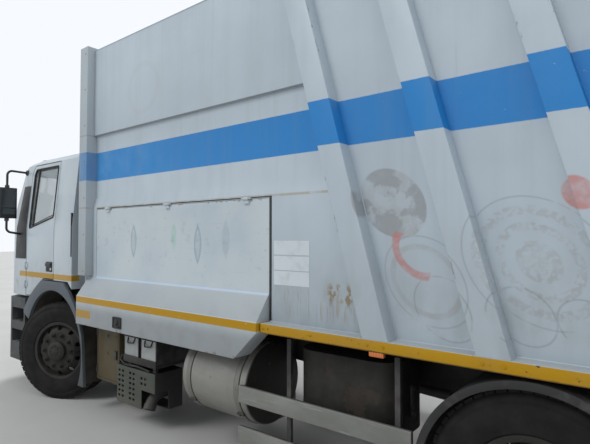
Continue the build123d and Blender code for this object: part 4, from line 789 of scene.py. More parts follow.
# The truck's finishes
side_paint = panel_paint("side_paint", 1.0, motifs=True)
end_paint = panel_paint("end_paint", 6.0, motifs=False)
hatch_coat = hatch_paint()
cab_coat = cab_paint()
bay_paint = plain_white("bay_paint", 2.0, 1.1)
roof_paint = plain_white("roof_paint", 4.0, 3.0)
rail_yellow = chipped("rail_yellow", stripe_yellow, (0.10, 0.05, 0.03), scale=30, amount=0.665, dust=0.03,
                      shine=0.05)
lifter_yellow = chipped("lifter_yellow", (0.55, 0.31, 0.02), (0.09, 0.07, 0.06), scale=24, amount=0.58)
chassis_coat = chipped("chassis_coat", (0.010, 0.010, 0.0105), (0.040, 0.026, 0.019), scale=26,
                       amount=0.62, dust=0.09, shine=0.25)
wheel_coat = chipped("wheel_coat", (0.008, 0.0078, 0.0075), (0.030, 0.022, 0.017), scale=40, dust=0.08,
                     rough=0.65, shine=0.25)
locker_coat = chipped("locker_coat", (0.090, 0.070, 0.032), (0.040, 0.030, 0.020), scale=16, amount=0.62,
                      dust=0.07, shine=0.25)
cast_coat = chipped("cast_coat", (0.035, 0.034, 0.033), (0.070, 0.045, 0.032), scale=22, dust=0.25,
                    rough=0.6, metal=0.4)
oil_coat = chipped("oil_coat", (0.010, 0.0095, 0.009), (0.030, 0.022, 0.017), scale=7, amount=0.57,
                   dust=0.07, rough=0.6, shine=0.2)
bumper_plastic = moulded("bumper_plastic", (0.024, 0.028, 0.031), (0.050, 0.056, 0.062))
trim_plastic = moulded("trim_plastic", (0.016, 0.018, 0.020), (0.036, 0.040, 0.045))
mirror_plastic = moulded("mirror_plastic", (0.005, 0.006, 0.007), (0.012, 0.013, 0.015))
# Black rubber; the same finish also serves black strips that are painted shade in gaps
black_rubber = moulded("black_rubber", (0.012, 0.012, 0.0125), (0.030, 0.030, 0.030), rough=0.7)
inside_plastic = moulded("inside_plastic", (0.055, 0.058, 0.062), (0.09, 0.09, 0.095), rough=0.65)
rubber_coat = tyre_rubber()
cab_window = clear_glass("cab_window", (0.52, 0.61, 0.64), share=0.34)
mirror_face = brushed("mirror_face", (0.13, 0.14, 0.15), rough=0.03, dirt=0.05)
bright_steel = brushed("bright_steel", (0.62, 0.62, 0.60), rough=0.3)
ram_chrome = brushed("ram_chrome", (0.75, 0.76, 0.77), rough=0.08, dirt=0.1)
seat_cloth = woven_fabric()
amber_lens = lens("amber_lens", (0.50, 0.13, 0.010))
clear_lens = lens("clear_lens", (0.60, 0.63, 0.65))
sticker_film = moulded("sticker_film", (0.62, 0.68, 0.72), (0.56, 0.62, 0.66), rough=0.4, grain=60)

body_of_node = {node: body for body, nodes in frame["record"]["behaviour"]["bodies"].items()
                for node in nodes}


def merged(node):
    """A CAD node's faces, joined at their corners and cleared of the lines across flat faces."""
    bm = bmesh.new()
    bm.from_mesh(frame["nodes"][node].data)
    bmesh.ops.remove_doubles(bm, verts=bm.verts, dist=1e-5)
    bmesh.ops.dissolve_limit(bm, angle_limit=math.radians(0.5), verts=bm.verts, edges=bm.edges)
    return bm


def softened(node, finish, width):
    """The CAD node again with its edges rounded, standing for the node."""
    bm = merged(node)
    if width:
        round_edges(bm, width)
    bmesh.ops.triangulate(bm, faces=[face for face in bm.faces if len(face.verts) > 4])
    mesh = bpy.data.meshes.new(f"{node}_shape")
    bm.to_mesh(mesh)
    bm.free()
    settle(f"{node}_shape", mesh, finish, body_of_node[node], stands_for=(node,))


# CAD nodes that keep their shape: node, finish, edge rounding in metres
kept_shapes = (
    ("body_side_left", side_paint, 0.006),
    ("body_side_right", end_paint, 0.006),
    ("body_front", end_paint, 0.004),
    ("body_roof", roof_paint, 0.006),
    ("hopper", bay_paint, 0.003),
    ("service_hatch", hatch_coat, 0.006),
    ("rear_door", end_paint, 0.006),
    ("cab_shell", cab_coat, 0.003),
    ("door_left", cab_coat, 0.003),
    ("door_right", cab_coat, 0.003),
    ("cab_trim", trim_plastic, 0.003),
    ("dashboard", inside_plastic, 0.008),
    ("seats", seat_cloth, 0.03),
    ("steering_wheel", inside_plastic, 0.0),
    ("mirrors", mirror_plastic, 0.004),
    ("front_bumper", bumper_plastic, 0.012),
    ("rear_mudguards", black_rubber, 0.003),
    ("rear_bumper", chassis_coat, 0.004),
    ("chassis_frame", chassis_coat, 0.004),
    ("cross_members", chassis_coat, 0.003),
    ("cross_bearers", chassis_coat, 0.003),
    ("oil_tank", oil_coat, 0.012),
    ("air_intake", trim_plastic, 0.010),
    ("subframe", chassis_coat, 0.003),
    ("leaf_springs", chassis_coat, 0.002),
    ("front_axle", cast_coat, 0.008),
    ("rear_axle", cast_coat, 0.006),
    ("engine_block", cast_coat, 0.012),
    ("gearbox_and_shaft", cast_coat, 0.006),
    ("battery_tray", chassis_coat, 0.003),
    ("locker", locker_coat, 0.008),
    ("silencer", cast_coat, 0.004),
    ("air_tanks", chassis_coat, 0.006),
    ("rear_ram_barrels", chassis_coat, 0.002),
    ("rear_ram_rods", ram_chrome, 0.001),
    ("lifter_arm", lifter_yellow, 0.004),
    ("lifter_ram_barrel", chassis_coat, 0.002),
    ("lifter_ram_rod", ram_chrome, 0.001),
    ("knuckle_left", cast_coat, 0.002),
    ("knuckle_right", cast_coat, 0.002),
    ("front_wheel_left", wheel_coat, 0.002),
    ("front_wheel_right", wheel_coat, 0.002),
    ("rear_wheels_left", wheel_coat, 0.002),
    ("rear_wheels_right", wheel_coat, 0.002),
)
for node, finish, width in kept_shapes:
    softened(node, finish, width)

# Glass keeps its CAD faces
for node in ("cab_glass", "door_glass_left", "door_glass_right"):
    materials = frame["nodes"][node].data.materials
    materials.clear()
    materials.append(cab_window.material)


# Tyres with their tread, and the studs and valves on the wheels
named_sides = (("left", 1), ("right", -1))
both_sides = (1, -1)
tyre_profile = ((0.105, 0.2868), (0.117, 0.2950), (0.1195, 0.3080), (0.1285, 0.3150), (0.1350, 0.3500),
                (0.1392, 0.3800), (0.1400, 0.4000), (0.1380, 0.4400), (0.1362, 0.4420), (0.1330, 0.4560),
                (0.1340, 0.4585), (0.1290, 0.4750), (0.1225, 0.4930), (0.1120, 0.5020), (0.0950, 0.5030))
# Rows of tread blocks: across the tyre, width, half a block ahead or not, skew
tread_rows = ((-0.0955, 0.042, 0.0, 0.0), (-0.0480, 0.038, 0.5, 0.16), (0.0, 0.040, 0.0, -0.16),
              (0.0480, 0.038, 0.5, 0.16), (0.0955, 0.042, 0.0, 0.0))
tread_count = 54
block_length = 0.0515
block_depth = 0.018
tread_top = 0.5143
nut_count = 10
nut_circle = 0.1675
stud_line = line_of_studs()
bar_line = line_of_bars()
stud_ring = ring_of_studs()
block_ring = ring_of_blocks()


def axle_place(body, side):
    """The place of a wheel's axle, its Z pointing away from the truck."""
    joint = next(joint for joint in frame["record"]["behaviour"]["joints"] if joint["child"] == body)
    return frame_at(joint["pos_m"], side * Vector(joint["axis"]))


def tyre_mesh(bm, place, middle):
    """One tyre's carcass and tread with its middle this far out along the axle."""
    profile = [(radius, middle + across) for across, radius in tyre_profile]
    profile += [(radius, middle - across) for across, radius in reversed(tyre_profile)]
    add_lathe(bm, place, profile, closed=True)
    step = 2 * math.pi / tread_count
    blocks = [block_ring.mesh(Count=tread_count, Radius=tread_top - block_depth / 2, Offset=middle + across,
                              Phase=ahead * step, Size=(block_depth, block_length, width), Skew=skew)
              for across, width, ahead, skew in tread_rows]
    join_meshes(bm, blocks, place)


# Wheels: body stem, tyre node stem, tyre middles, nut face, hub cap face, cap radius
wheels = (
    ("front_wheel", "front_tyre", (0.135,), 0.291, 0.313, 0.058),
    ("rear_wheels", "rear_tyres", (-0.160, 0.165), 0.0405, 0.1325, 0.066),
)
for stem, tyre_stem, middles, nut_face, cap_face, cap_ring in wheels:
    for side_name, side in named_sides:
        body = f"{stem}_{side_name}"
        place = axle_place(body, side)
        bm = bmesh.new()
        for middle in middles:
            tyre_mesh(bm, place, middle)
        tyre_node = f"{tyre_stem}_{side_name}"
        finish_piece(f"{tyre_node}_tread", bm, rubber_coat, body, smooth=40,
                     stands_for=(tyre_node,))
        bm = bmesh.new()
        # Offset, head radius, height and sides of the nuts and of their washers
        nut_parts = ((nut_face + 0.006, 0.0105, 0.024, 10), (nut_face - 0.021, 0.0235, 0.006, 16))
        rings = [stud_ring.mesh(Count=nut_count, Radius=nut_circle, Offset=offset, Head=head, Height=height,
                                Sides=around) for offset, head, height, around in nut_parts]
        rings.append(stud_ring.mesh(Count=8, Radius=cap_ring, Offset=cap_face + 0.002, Head=0.007,
                                    Height=0.008, Sides=6))
        join_meshes(bm, rings, place)
        add_lathe(bm, place, ((0, cap_face + 0.010), (0.028, cap_face + 0.009), (0.040, cap_face + 0.003),
                              (0.044, cap_face - 0.006), (0, cap_face - 0.006)), sides=32)
        valve = nut_face - 0.055
        add_pipe(bm, [place @ Vector(p) for p in ((0.245, 0, valve), (0.245, 0, valve + 0.03),
                                                  (0.205, 0, valve + 0.06), (0.190, 0, valve + 0.068))],
                 0.0055, sides=8, bend=0.01)
        finish_piece(f"{body}_studs", bm, wheel_coat, body)


def painted_tank():
    """The fuel tank: a light drum with painted highlight bands, darker straps with black edges, and a rear
    end painted near black as shade.
    """
    f = Finish("tank_paint", rough=0.42, metal=0.3)
    x, z = f.places("XZ")
    cloud = f.patches(0.3, 0.72, 5, (0.4, 1, 1), seed=2.7)
    base = f.blend(cloud, (0.27, 0.27, 0.245), (0.19, 0.19, 0.170))
    # Pale upright bands across the drum: painted highlights.
    highlight_bands = f.patches(0.45, 0.65, 1.3, (1, 0.2, 0.2), seed=5.5)
    base = f.blend(0.35 * highlight_bands, base, (0.38, 0.38, 0.35))
    strap = (f.within(x, -0.003, 0.043, 0.001) + f.within(x, 0.537, 0.583, 0.001)).least(1)
    edge = (f.within(x, -0.010, 0.050, 0.001) + f.within(x, 0.530, 0.590, 0.001)).least(1) - strap
    base = f.blend(strap, base, (0.20, 0.20, 0.18))
    base = f.blend(edge, base, (0.03, 0.03, 0.03))
    # The rear end, near black: painted shade.
    end = f.step(x, -0.058, -0.066)
    base = f.blend(end, base, (0.030, 0.028, 0.026))
    low = f.step(z, 0.62, 0.32)
    base = f.blend(low * 0.5 * (1 - end), base, (0.11, 0.10, 0.085))
    spots = rust_spots(f, 30, 0.62, 0.70) * 0.6
    f.colour(f.blend(spots, base, rust))
    f.gloss(0.30 + 0.2 * cloud + 0.2 * low)
    return f.bump(f.noise(3, seed=1.8) - 0.1 * spots, 0.006)


def guard_metal():
    """The side guards: dull rails on black posts."""
    f = Finish("guard_metal", rough=0.5, metal=0.3)
    y = f.along("Y")
    rails = f.step(abs(y), 1.1325, 1.1335)
    base = f.blend(f.patches(0.3, 0.7, 7, (0.4, 1, 1), seed=3), (0.25, 0.255, 0.235),
                   (0.18, 0.185, 0.168))
    scrape = f.patches(0.62, 0.68, 1, (4, 60, 60), seed=2, detail=5)
    base = f.blend(0.4 * scrape, base, (0.38, 0.38, 0.36))
    base = f.blend(rails, (0.022, 0.022, 0.023), base)
    dusty = 0.3 * f.patches(0.4, 0.75, 6, seed=4.6)
    f.colour(f.blend(dusty, base, road_dust))
    f.gloss(0.45 + 0.2 * f.noise(12) + 0.2 * dusty)
    return f.bump(f.noise(90, detail=3) * 0.4 - 0.4 * scrape, 0.001)


def lamp_colours():
    """Lamp lenses by their place: clear in front, amber on the sides, red and amber behind."""
    f = Finish("lamp_colours", rough=0.14, coat=0.6)
    x, y, z = f.places("XYZ")
    flutes = abs(((x + y) * 60) % 1 - 0.5)
    front = f.step(x, 3.9, 3.95)
    behind = f.step(x, -3.9, -3.95)
    inner = f.step(abs(y), 0.786, 0.784)
    outer = f.step(abs(y), 0.934, 0.936)
    amber = (0.70, 0.17, 0.010)
    red = (0.42, 0.010, 0.008)
    rear = f.blend(inner, f.blend(outer, amber, red), (0.60, 0.60, 0.60))
    base = f.blend(behind, amber, rear)
    base = f.blend(front, base, (0.55, 0.58, 0.60))
    f.colour(f.blend(0.35 * f.step(flutes, 0.1, 0.4), base, soot))
    f.gloss(0.10 + 0.12 * f.noise(30) + 0.2 * f.step(z, 0.9, 0.8) * behind)
    return f.bump(flutes, 0.0015)


def rail_paint():
    """The floor's yellow rail: dark along its foot and at chips, white on top."""
    f = Finish("rail_paint", rough=0.5, shine=0.3)
    y, z = f.places("YZ")
    chips = f.patches(0.66, 0.71, 30, detail=7, seed=2.2)
    foot = f.step(z + 0.006 * f.noise(24, seed=3.5), 1.1125, 1.1065)
    base = f.blend(f.patches(0.3, 0.8, 3, seed=1.3) * 0.4, stripe_yellow, (0.36, 0.185, 0.002))
    base = f.blend(0.08 * f.patches(0.35, 0.7, 6, seed=4.6), base, road_dust)
    base = f.blend((chips + 0.8 * foot).least(1), base, (0.075, 0.043, 0.020))
    base = f.blend(f.step(z, 1.1620, 1.1640), base, (0.40, 0.44, 0.46))
    inward = f.step(abs(y), 1.244, 1.240) * f.step(z, 1.1640, 1.1620)
    f.colour(f.blend(inward, base, (0.030, 0.028, 0.026)))
    f.gloss(0.40 + 0.2 * chips + 0.15 * foot)
    return f.bump(f.noise(110, detail=3) * 0.4 - 0.6 * chips, 0.0015)


# X of the two batteries
battery_middles = (1.1575, 1.4225)


def battery_cases():
    """Batteries: a white cover on each front, the rest black and dusty."""
    f = Finish("battery_cases", rough=0.5)
    x, y, z = f.places("XYZ")
    far = abs(x - battery_middles[0]).least(abs(x - battery_middles[1]))
    cover = f.step(y, 1.066, 1.070) * f.step(far, 0.106, 0.103) * f.within(z, 0.634, 0.815, 0.001)
    pale = f.blend(f.patches(0.35, 0.75, 9, seed=2), (0.40, 0.42, 0.42), (0.30, 0.32, 0.31))
    pale = f.blend(0.5 * f.step(z, 0.68, 0.62), pale, road_dust)
    black = f.blend(0.12 * f.patches(0.4, 0.7, 14, seed=6), (0.014, 0.014, 0.014), road_dust)
    f.colour(f.blend(cover, black, pale))
    f.gloss(0.42 + 0.2 * f.noise(12))
    return f.bump(f.noise(90) * 0.3 + 0.6 * cover, 0.001)


def step_plate():
    """The punched box: dull green outside, sooty inside and on its end."""
    f = Finish("step_plate", rough=0.6)
    y, z = f.places("YZ")
    base = f.blend(f.patches(0.3, 0.7, 7, seed=3.2), (0.046, 0.054, 0.042), (0.066, 0.072, 0.058))
    base = f.blend(f.patches(0.60, 0.66, 24, detail=7, seed=4) * 0.7, base, (0.10, 0.075, 0.050))
    base = f.blend(0.5 * f.step(z, 0.34, 0.20), base, (0.10, 0.095, 0.080))
    front = f.step(y, 1.0765, 1.0785)
    f.colour(f.blend(front, (0.012, 0.0115, 0.011), base))
    f.gloss(0.55 + 0.15 * f.noise(9))
    return f.bump(f.noise(60, detail=3), 0.0015)


def front_guard():
    """Front mudguards: blue-grey plastic rims, the plate behind them brown with road dirt."""
    f = Finish("front_guard", rough=0.5, shine=0.35)
    y, z = f.places("YZ")
    cloud = f.patches(0.3, 0.75, 3.5, seed=1.9)
    base = f.blend(cloud * 0.6, (0.074, 0.090, 0.103), (0.118, 0.140, 0.157))
    base = f.blend(0.5 * f.step(z, 0.8, 0.3), base, (0.050, 0.048, 0.044))
    plate = f.step(abs(y), 1.1285, 1.1265)
    dirt = f.blend(f.patches(0.35, 0.7, 8, seed=5.2), (0.046, 0.041, 0.034), (0.028, 0.025, 0.021))
    f.colour(f.blend(plate, base, dirt))
    f.gloss(0.46 + 0.15 * cloud + 0.25 * plate)
    return f.bump(f.noise(420, detail=2), 0.0006)


# Nodes with a finish of their own: node, finish, edge rounding in metres
own_finishes = (
    ("fuel_tank", painted_tank(), 0.002),
    ("side_guards", guard_metal(), 0.004),
    ("body_floor", rail_paint(), 0.004),
    ("batteries", battery_cases(), 0.006),
    ("step_box", step_plate(), 0.002),
    ("front_mudguards", front_guard(), 0.004),
    ("lamps", lamp_colours(), 0.004),
)
for node, finish, width in own_finishes:
    softened(node, finish, width)


def add_heads(bm, rows):
    """Adds lines of bolt or rivet heads: start, step, count, radius, height, sides, turn."""
    meshes = [stud_line.mesh(Start=start, Step=step, Count=count, Radius=radius, Height=height, Sides=sides,
                             Turn=turn) for start, step, count, radius, height, sides, turn in rows]
    join_meshes(bm, meshes)


across_turn = (math.pi / 2, 0.0, 0.0)
along_turn = (0.0, math.pi / 2, 0.0)
flat_turn = (0.0, 0.0, 0.0)


def wall_lean(x, z):
    """X at a height, on a rib that stands at x at its foot."""
    return x + lean * (z - rail_high_z)


# Body: weld beads down both edges of the ribs, along the floor rails and along the roof
weld_radius = 0.004
bm = bmesh.new()
for side in both_sides:
    for rib in range(rib_count):
        for edge in (0.002, -rib_width - 0.002):
            x = first_rib_x - rib * rib_pitch + edge
            add_pipe(bm, [(wall_lean(x, z), side * (wall_y + 0.001), z)
                          for z in (rail_high_z, 2.3, roof_z - 0.01)], weld_radius, sides=6)
    add_pipe(bm, [(aft(3.165), side * (wall_y + 0.002), rail_high_z),
                  (-3.88, side * (wall_y + 0.002), rail_high_z)], weld_radius, sides=6)
    add_pipe(bm, [(2.148, side * wall_y, roof_z), (-3.2, side * wall_y, roof_z)], weld_radius, sides=6)
finish_piece("weld_beads", bm, end_paint, "chassis")

# Bolts and rivets on the side rails and the front posts
bm = bmesh.new()
rows = []
for side in both_sides:
    for rib in range(rib_count):
        x = first_rib_x - rib * rib_pitch
        rows.append(((x - 0.03, side * (side_rail_y + 0.001), 1.134), (-0.10, 0, 0), 2, 0.009, 0.007, 6,
                     across_turn))
    rows.append(((aft(3.20), side * (side_rail_y + 0.001), 1.134), (-0.36, 0, 0), 10, 0.005, 0.003, 8,
                 across_turn))
    rows.append(((2.05, side * 1.2205, 1.40), (0, 0, 0.36), 7, 0.007, 0.004, 8, across_turn))
add_heads(bm, rows)
finish_piece("rail_bolts", bm, rail_yellow, "chassis")

# Blank stickers beside the hatch, by their bottom edges
sticker_low = (1.415, 1.515, 1.618)
bm = bmesh.new()
for low in sticker_low:
    place = frame_at((-0.525, wall_y, low), (0, 1, 0))
    add_plate(bm, rectangle(0.15, 0, 0.094), place, 0.0012)
finish_piece("side_stickers", bm, sticker_film, "chassis")

# The hatch's round lock in its square black frame
bm = bmesh.new()
lock_place = frame_at((1.345, 1.2785, 0.988), (0, 1, 0))
add_box(bm, (1.278, 1.394), (1.271, 1.279), (0.942, 1.026))
for x in ((1.270, 1.280), (1.392, 1.402)):
    add_box(bm, x, (1.271, 1.286), (0.936, 1.032))
for z in ((0.934, 0.944), (1.024, 1.034)):
    add_box(bm, (1.280, 1.392), (1.271, 1.286), z)
add_lathe(bm, lock_place, ((0, 0.012), (0.020, 0.012), (0.026, 0.006), (0.028, 0.0), (0, 0.0)), sides=28)
add_box(bm, (1.300, 1.372), (1.2785, 1.289), (0.950, 0.960))
finish_piece("hatch_lock", bm, black_rubber, "service_hatch", bevel=0.002)


# The cab's sides lean in above the window line
window_line_z = 1.85
lean_in = 0.07
lean_height = 0.74


def cab_side_y(z):
    """The cab side's distance from the middle at a height: it leans in above the window line."""
    return cab_half_width - lean_in * max(0.0, z - window_line_z) / lean_height


def outlined(points, side, proud):
    """Points (x, z) on the cab's side, this far out from it."""
    return [(x, side * (cab_side_y(z) + proud), z) for x, z in points]


def closed_pipe(bm, points, radius, sides=8):
    """A pipe round a closed outline, started in the middle of its first side so that corners stay whole."""
    start = [(a + b) / 2 for a, b in zip(points[0], points[1])]
    add_pipe(bm, [start, *points[1:], points[0], start], radius, sides, bend=0.02)


# Doors: window seals, the upright strip in the window, handle and lock
window_outline = ((2.885, 1.960), (3.470, 1.840), (3.470, 2.470), (3.435, 2.535), (2.885, 2.535))
for side_name, side in named_sides:
    body = f"door_{side_name}"
    bm = bmesh.new()
    closed_pipe(bm, outlined(window_outline, side, -0.002), 0.011)
    strip_low, strip_high = (3.385, 1.862), (3.360, 2.535)
    add_pipe(bm, outlined((strip_low, (3.372, 2.2), strip_high), side, -0.004), 0.011, sides=8)
    inner = [(x + (0.02 if x < 3.3 else -0.02), z + (0.03 if z < 2.1 else -0.02))
             for x, z in window_outline]
    closed_pipe(bm, outlined(inner, side, -0.014), 0.006)
    finish_piece(f"window_seals_{side_name}", bm, black_rubber, body)
    bm = bmesh.new()
    face = side * (cab_half_width + 0.001)
    add_box(bm, (2.872, 3.022), (face - side * 0.012, face + side * 0.004), (1.350, 1.462))
    add_box(bm, (2.884, 3.008), (face, face + side * 0.020), (1.412, 1.446))
    add_box(bm, (2.965, 3.010), (face, face + side * 0.008), (1.362, 1.400))
    finish_piece(f"door_handle_{side_name}", bm, trim_plastic, body, bevel=0.004)
    bm = bmesh.new()
    add_lathe(bm, frame_at((2.905, side * (cab_half_width + 0.004), 1.380), (0, side, 0)),
              ((0, 0.004), (0.011, 0.004), (0.013, 0.001), (0.013, -0.003), (0, -0.003)), sides=20)
    finish_piece(f"door_lock_{side_name}", bm, bright_steel, body)

# Windscreen: its seal, the rear window's seal and three wipers
screen_outline = [(-1.02, 1.745), (1.02, 1.745), (0.985, 2.50), (-0.985, 2.50)]


screen_low_x = cab_front_x - 0.05
screen_high_x = aft(-0.90)
screen_low_z = 1.70
screen_height = 0.85
corner_radius = 0.23


def screen_curve(y, z):
    """X of the windscreen's outer face, which ends in the cab's round front corners."""
    flat = screen_low_x + (z - screen_low_z) / screen_height * (screen_high_x - screen_low_x)
    inset = max(0.0, abs(y) - (cab_half_width - corner_radius))
    return min(flat, cab_front_x - corner_radius + math.sqrt(max(0.0, corner_radius ** 2 - inset ** 2)))


bm = bmesh.new()
for low, high in zip(screen_outline, screen_outline[1:] + screen_outline[:1]):
    route = [[a + (b - a) * part / 12 for a, b in zip(low, high)] for part in range(13)]
    add_pipe(bm, [(screen_curve(y, z) + 0.001, y, z) for y, z in route], 0.012, sides=8)
rear_outline = ((-0.52, 1.95), (0.52, 1.95), (0.52, 2.38), (-0.52, 2.38))
closed_pipe(bm, [(2.441, y, z) for y, z in rear_outline], 0.011)
finish_piece("screen_seals", bm, black_rubber, "cab")

wiper_foot_z = 1.715
wiper_tip_z = 1.84
bm = bmesh.new()
for pivot, tip in ((-0.62, -0.05), (0.02, 0.59), (0.66, 0.99)):
    foot = (screen_curve(pivot, wiper_foot_z) + 0.022, pivot, wiper_foot_z)
    end = (screen_curve(tip, wiper_tip_z) + 0.022, tip, wiper_tip_z)
    add_bar(bm, (foot[0] - 0.05, pivot, wiper_foot_z), (foot[0] + 0.012, pivot, wiper_foot_z), 0.016, 14)
    middle = (max(foot[0], end[0]) + 0.008, (pivot + tip) / 2, 1.778)
    add_pipe(bm, (foot, middle, end), 0.007, sides=8)
    blade = ((tip - 0.30, 1.790), (tip - 0.15, 1.815), (tip, wiper_tip_z), (min(tip + 0.10, 1.0), 1.856))
    add_pipe(bm, [(screen_curve(y, z) + 0.012, y, z) for y, z in blade], 0.006, sides=6)
finish_piece("wipers", bm, black_rubber, "cab")

# Mirrors: two glasses on each head, and the arm's clamps
mirror_x = aft(-0.875)
for side_name, side in named_sides:
    y = side * 1.305
    place = frame_at((mirror_x - 0.0478, y, 2.155), (-1, 0, 0))
    bm = bmesh.new()
    add_plate(bm, rectangle(0.080, -0.070, 0.150), place, 0.0015)
    add_plate(bm, rectangle(0.080, -0.150, -0.082), place, 0.0015)
    finish_piece(f"mirror_glass_{side_name}", bm, mirror_face, "cab")
    bm = bmesh.new()
    for z in (1.945, 2.335):
        add_bar(bm, (mirror_x, y, z - 0.018), (mirror_x, y, z + 0.018), 0.024, 16)
    add_lathe(bm, frame_at((mirror_x, side * (cab_side_y(2.52) + 0.004), 2.52), (0, side, 0)),
              ((0, 0.012), (0.026, 0.012), (0.034, 0.004), (0.036, -0.012), (0, -0.012)), sides=24)
    finish_piece(f"mirror_clamps_{side_name}", bm, trim_plastic, "cab", bevel=0.002)

# Cab front: grille bars, the front flap's shut line and roof marker lamps
bm = bmesh.new()
bars = [bar_line.mesh(Start=(cab_front_x + 0.010, y0, 1.165), Step=(0, 0, 0.0147), Count=28,
                      Size=(0.004, 0.75, 0.004), Turn=flat_turn) for y0 in (-0.395, 0.395)]
bars.append(bar_line.mesh(Start=(cab_front_x + 0.011, -0.74, 1.37), Step=(0, 0.074, 0), Count=21,
                          Size=(0.004, 0.004, 0.42), Turn=flat_turn))
join_meshes(bm, bars)
finish_piece("grille_mesh", bm, black_rubber, "cab")

bm = bmesh.new()
shut_line = ((-0.90, 1.655), (-0.90, 1.12), (0.90, 1.12), (0.90, 1.655))
closed_pipe(bm, [(cab_front_x + 0.0005, y, z) for y, z in shut_line], 0.004, sides=6)
finish_piece("front_flap_gap", bm, black_rubber, "cab")

bm = bmesh.new()
for y in (-0.93, 0.93):
    add_box(bm, (3.46, 3.54), (y - 0.045, y + 0.045), (2.640, 2.672))
finish_piece("roof_markers", bm, clear_lens, "cab", bevel=0.010)

# Bumper: headlamp rims and frames, fog lamps, a blank plate, and ribs on the steps
headlamp_frame_x = (4.07, 4.0985)
bm = bmesh.new()
for side in both_sides:
    for y in (0.775, 0.920):
        place = frame_at((4.0915, side * y, 0.79), (1, 0, 0))
        add_lathe(bm, place, ((0.062, 0.002), (0.070, 0.0045), (0.074, 0.001), (0.074, -0.004),
                              (0.062, -0.004)), sides=40, closed=True)
        add_lathe(bm, place, ((0, 0.004), (0.018, 0.002), (0.020, -0.002), (0, -0.002)), sides=24)
finish_piece("headlamp_rims", bm, bright_steel, "chassis")
bm = bmesh.new()
for side in both_sides:
    y0, y1 = sorted((side * 0.690, side * 1.010))
    for z in ((0.884, 0.900), (0.680, 0.696)):
        add_box(bm, headlamp_frame_x, (y0, y1), z)
    for y in ((y0, y0 + 0.010), (y1 - 0.010, y1)):
        add_box(bm, headlamp_frame_x, y, (0.6965, 0.8835))
    place = frame_at((4.088, side * fog_y, fog_z), (1, 0, 0))
    add_lathe(bm, place, ((0.055, 0.006), (0.068, 0.010), (0.075, 0.004), (0.075, -0.02), (0.055, -0.02)),
              sides=36, closed=True)
add_box(bm, (4.066, 4.0755), (-0.26, 0.26), (0.435, 0.545))
finish_piece("bumper_trim", bm, trim_plastic, "chassis", bevel=0.003)
bm = bmesh.new()
for side in both_sides:
    add_lathe(bm, frame_at((4.090, side * fog_y, fog_z), (1, 0, 0)),
              ((0, 0.005), (0.040, 0.003), (0.0548, -0.001), (0.0548, -0.02), (0, -0.02)), sides=36)
finish_piece("fog_lamps", bm, clear_lens, "chassis")
bm = bmesh.new()
ribs = []
for side in both_sides:
    for tread in (0.470, 0.720):
        start = (3.60, side * 1.055, tread + 0.0025)
        ribs.append(bar_line.mesh(Start=start, Step=(0.03, 0, 0), Count=10, Size=(0.008, 0.14, 0.005),
                                  Turn=flat_turn))
join_meshes(bm, ribs)
finish_piece("step_ribs", bm, bright_steel, "chassis")

# Black strips up the rear edges of the cab's sides: painted shade in the gap between cab and body.
bm = bmesh.new()
edge_x = (2.445, 2.461)
heights = (1.53, 1.70, 1.85, 1.99)
for side in both_sides:
    for low_z, high_z in zip(heights, heights[1:]):
        inner = side * (cab_side_y(high_z) - 0.004)
        add_box(bm, edge_x, (inner, side * (cab_side_y(low_z) + 0.005)), (low_z, high_z))
finish_piece("cab_gap_shade", bm, black_rubber, "cab")


# Batteries: clamps, handles and leads
battery_y = 0.895
battery_top_z = 0.840
lead_z = 0.862
post_offset = 0.0775
bm = bmesh.new()
for middle in battery_middles:
    for x in (middle - post_offset, middle + post_offset):
        add_box(bm, (x - 0.018, x + 0.018), (battery_y - 0.016, battery_y + 0.016),
                (battery_top_z + 0.004, 0.866))
    handle = ((-0.060, 1.078, 0.818), (-0.055, 1.092, 0.770), (0.040, 1.092, 0.762), (0.050, 1.078, 0.812))
    add_pipe(bm, [(middle + x, y, z) for x, y, z in handle], 0.0055, sides=8, bend=0.014)
    add_box(bm, (middle - 0.100, middle + 0.100), (1.070, 1.0815), (0.817, 0.836))
add_box(bm, (1.035, 1.545), (1.000, 1.022), (battery_top_z, 0.850))
leads = (
    ((1.080, battery_y, lead_z), (1.080, 0.700, 0.885), (1.120, 0.56, 0.850), (1.120, lead_end_y, 0.850)),
    ((1.500, battery_y, lead_z), (1.500, 0.700, 0.890), (1.460, 0.56, 0.860), (1.460, lead_end_y, 0.860)),
    ((1.235, battery_y, lead_z), (1.235, 0.905, 0.900), (1.345, 0.905, 0.900),
     (1.345, battery_y, lead_z)),
    ((1.560, 1.076, 0.640), (1.590, 1.086, 0.595), (1.500, 1.092, 0.560), (1.300, 1.092, 0.572),
     (1.120, 1.090, 0.556)),
)
for route in leads:
    add_pipe(bm, route, 0.009, sides=8, bend=0.03)
finish_piece("battery_fittings", bm, black_rubber, "chassis", bevel=0.001)

# The pipe's end below the batteries, and the soot in it
bm = bmesh.new()
pipe_end = Vector((1.193, 1.040, 0.196))
pipe_run = Vector((-0.16, 0.46, -0.87)).normalized()
add_pipe(bm, (Vector((1.215, 0.720, 0.318)), Vector((1.203, 0.985, 0.312)), pipe_end - pipe_run * 0.010),
         0.050, sides=28, bend=0.08)
mouth = frame_at(pipe_end, pipe_run)
add_lathe(bm, mouth, ((0.047, 0.0), (0.055, 0.002), (0.0555, -0.045), (0.049, -0.048)), sides=36,
          closed=True)
finish_piece("pipe_end", bm, cast_coat, "chassis")
bm = bmesh.new()
add_lathe(bm, mouth, ((0, -0.0095), (0.0472, -0.0095), (0.0472, -0.014), (0, -0.014)), sides=36)
finish_piece("pipe_soot", bm, black_rubber, "chassis")

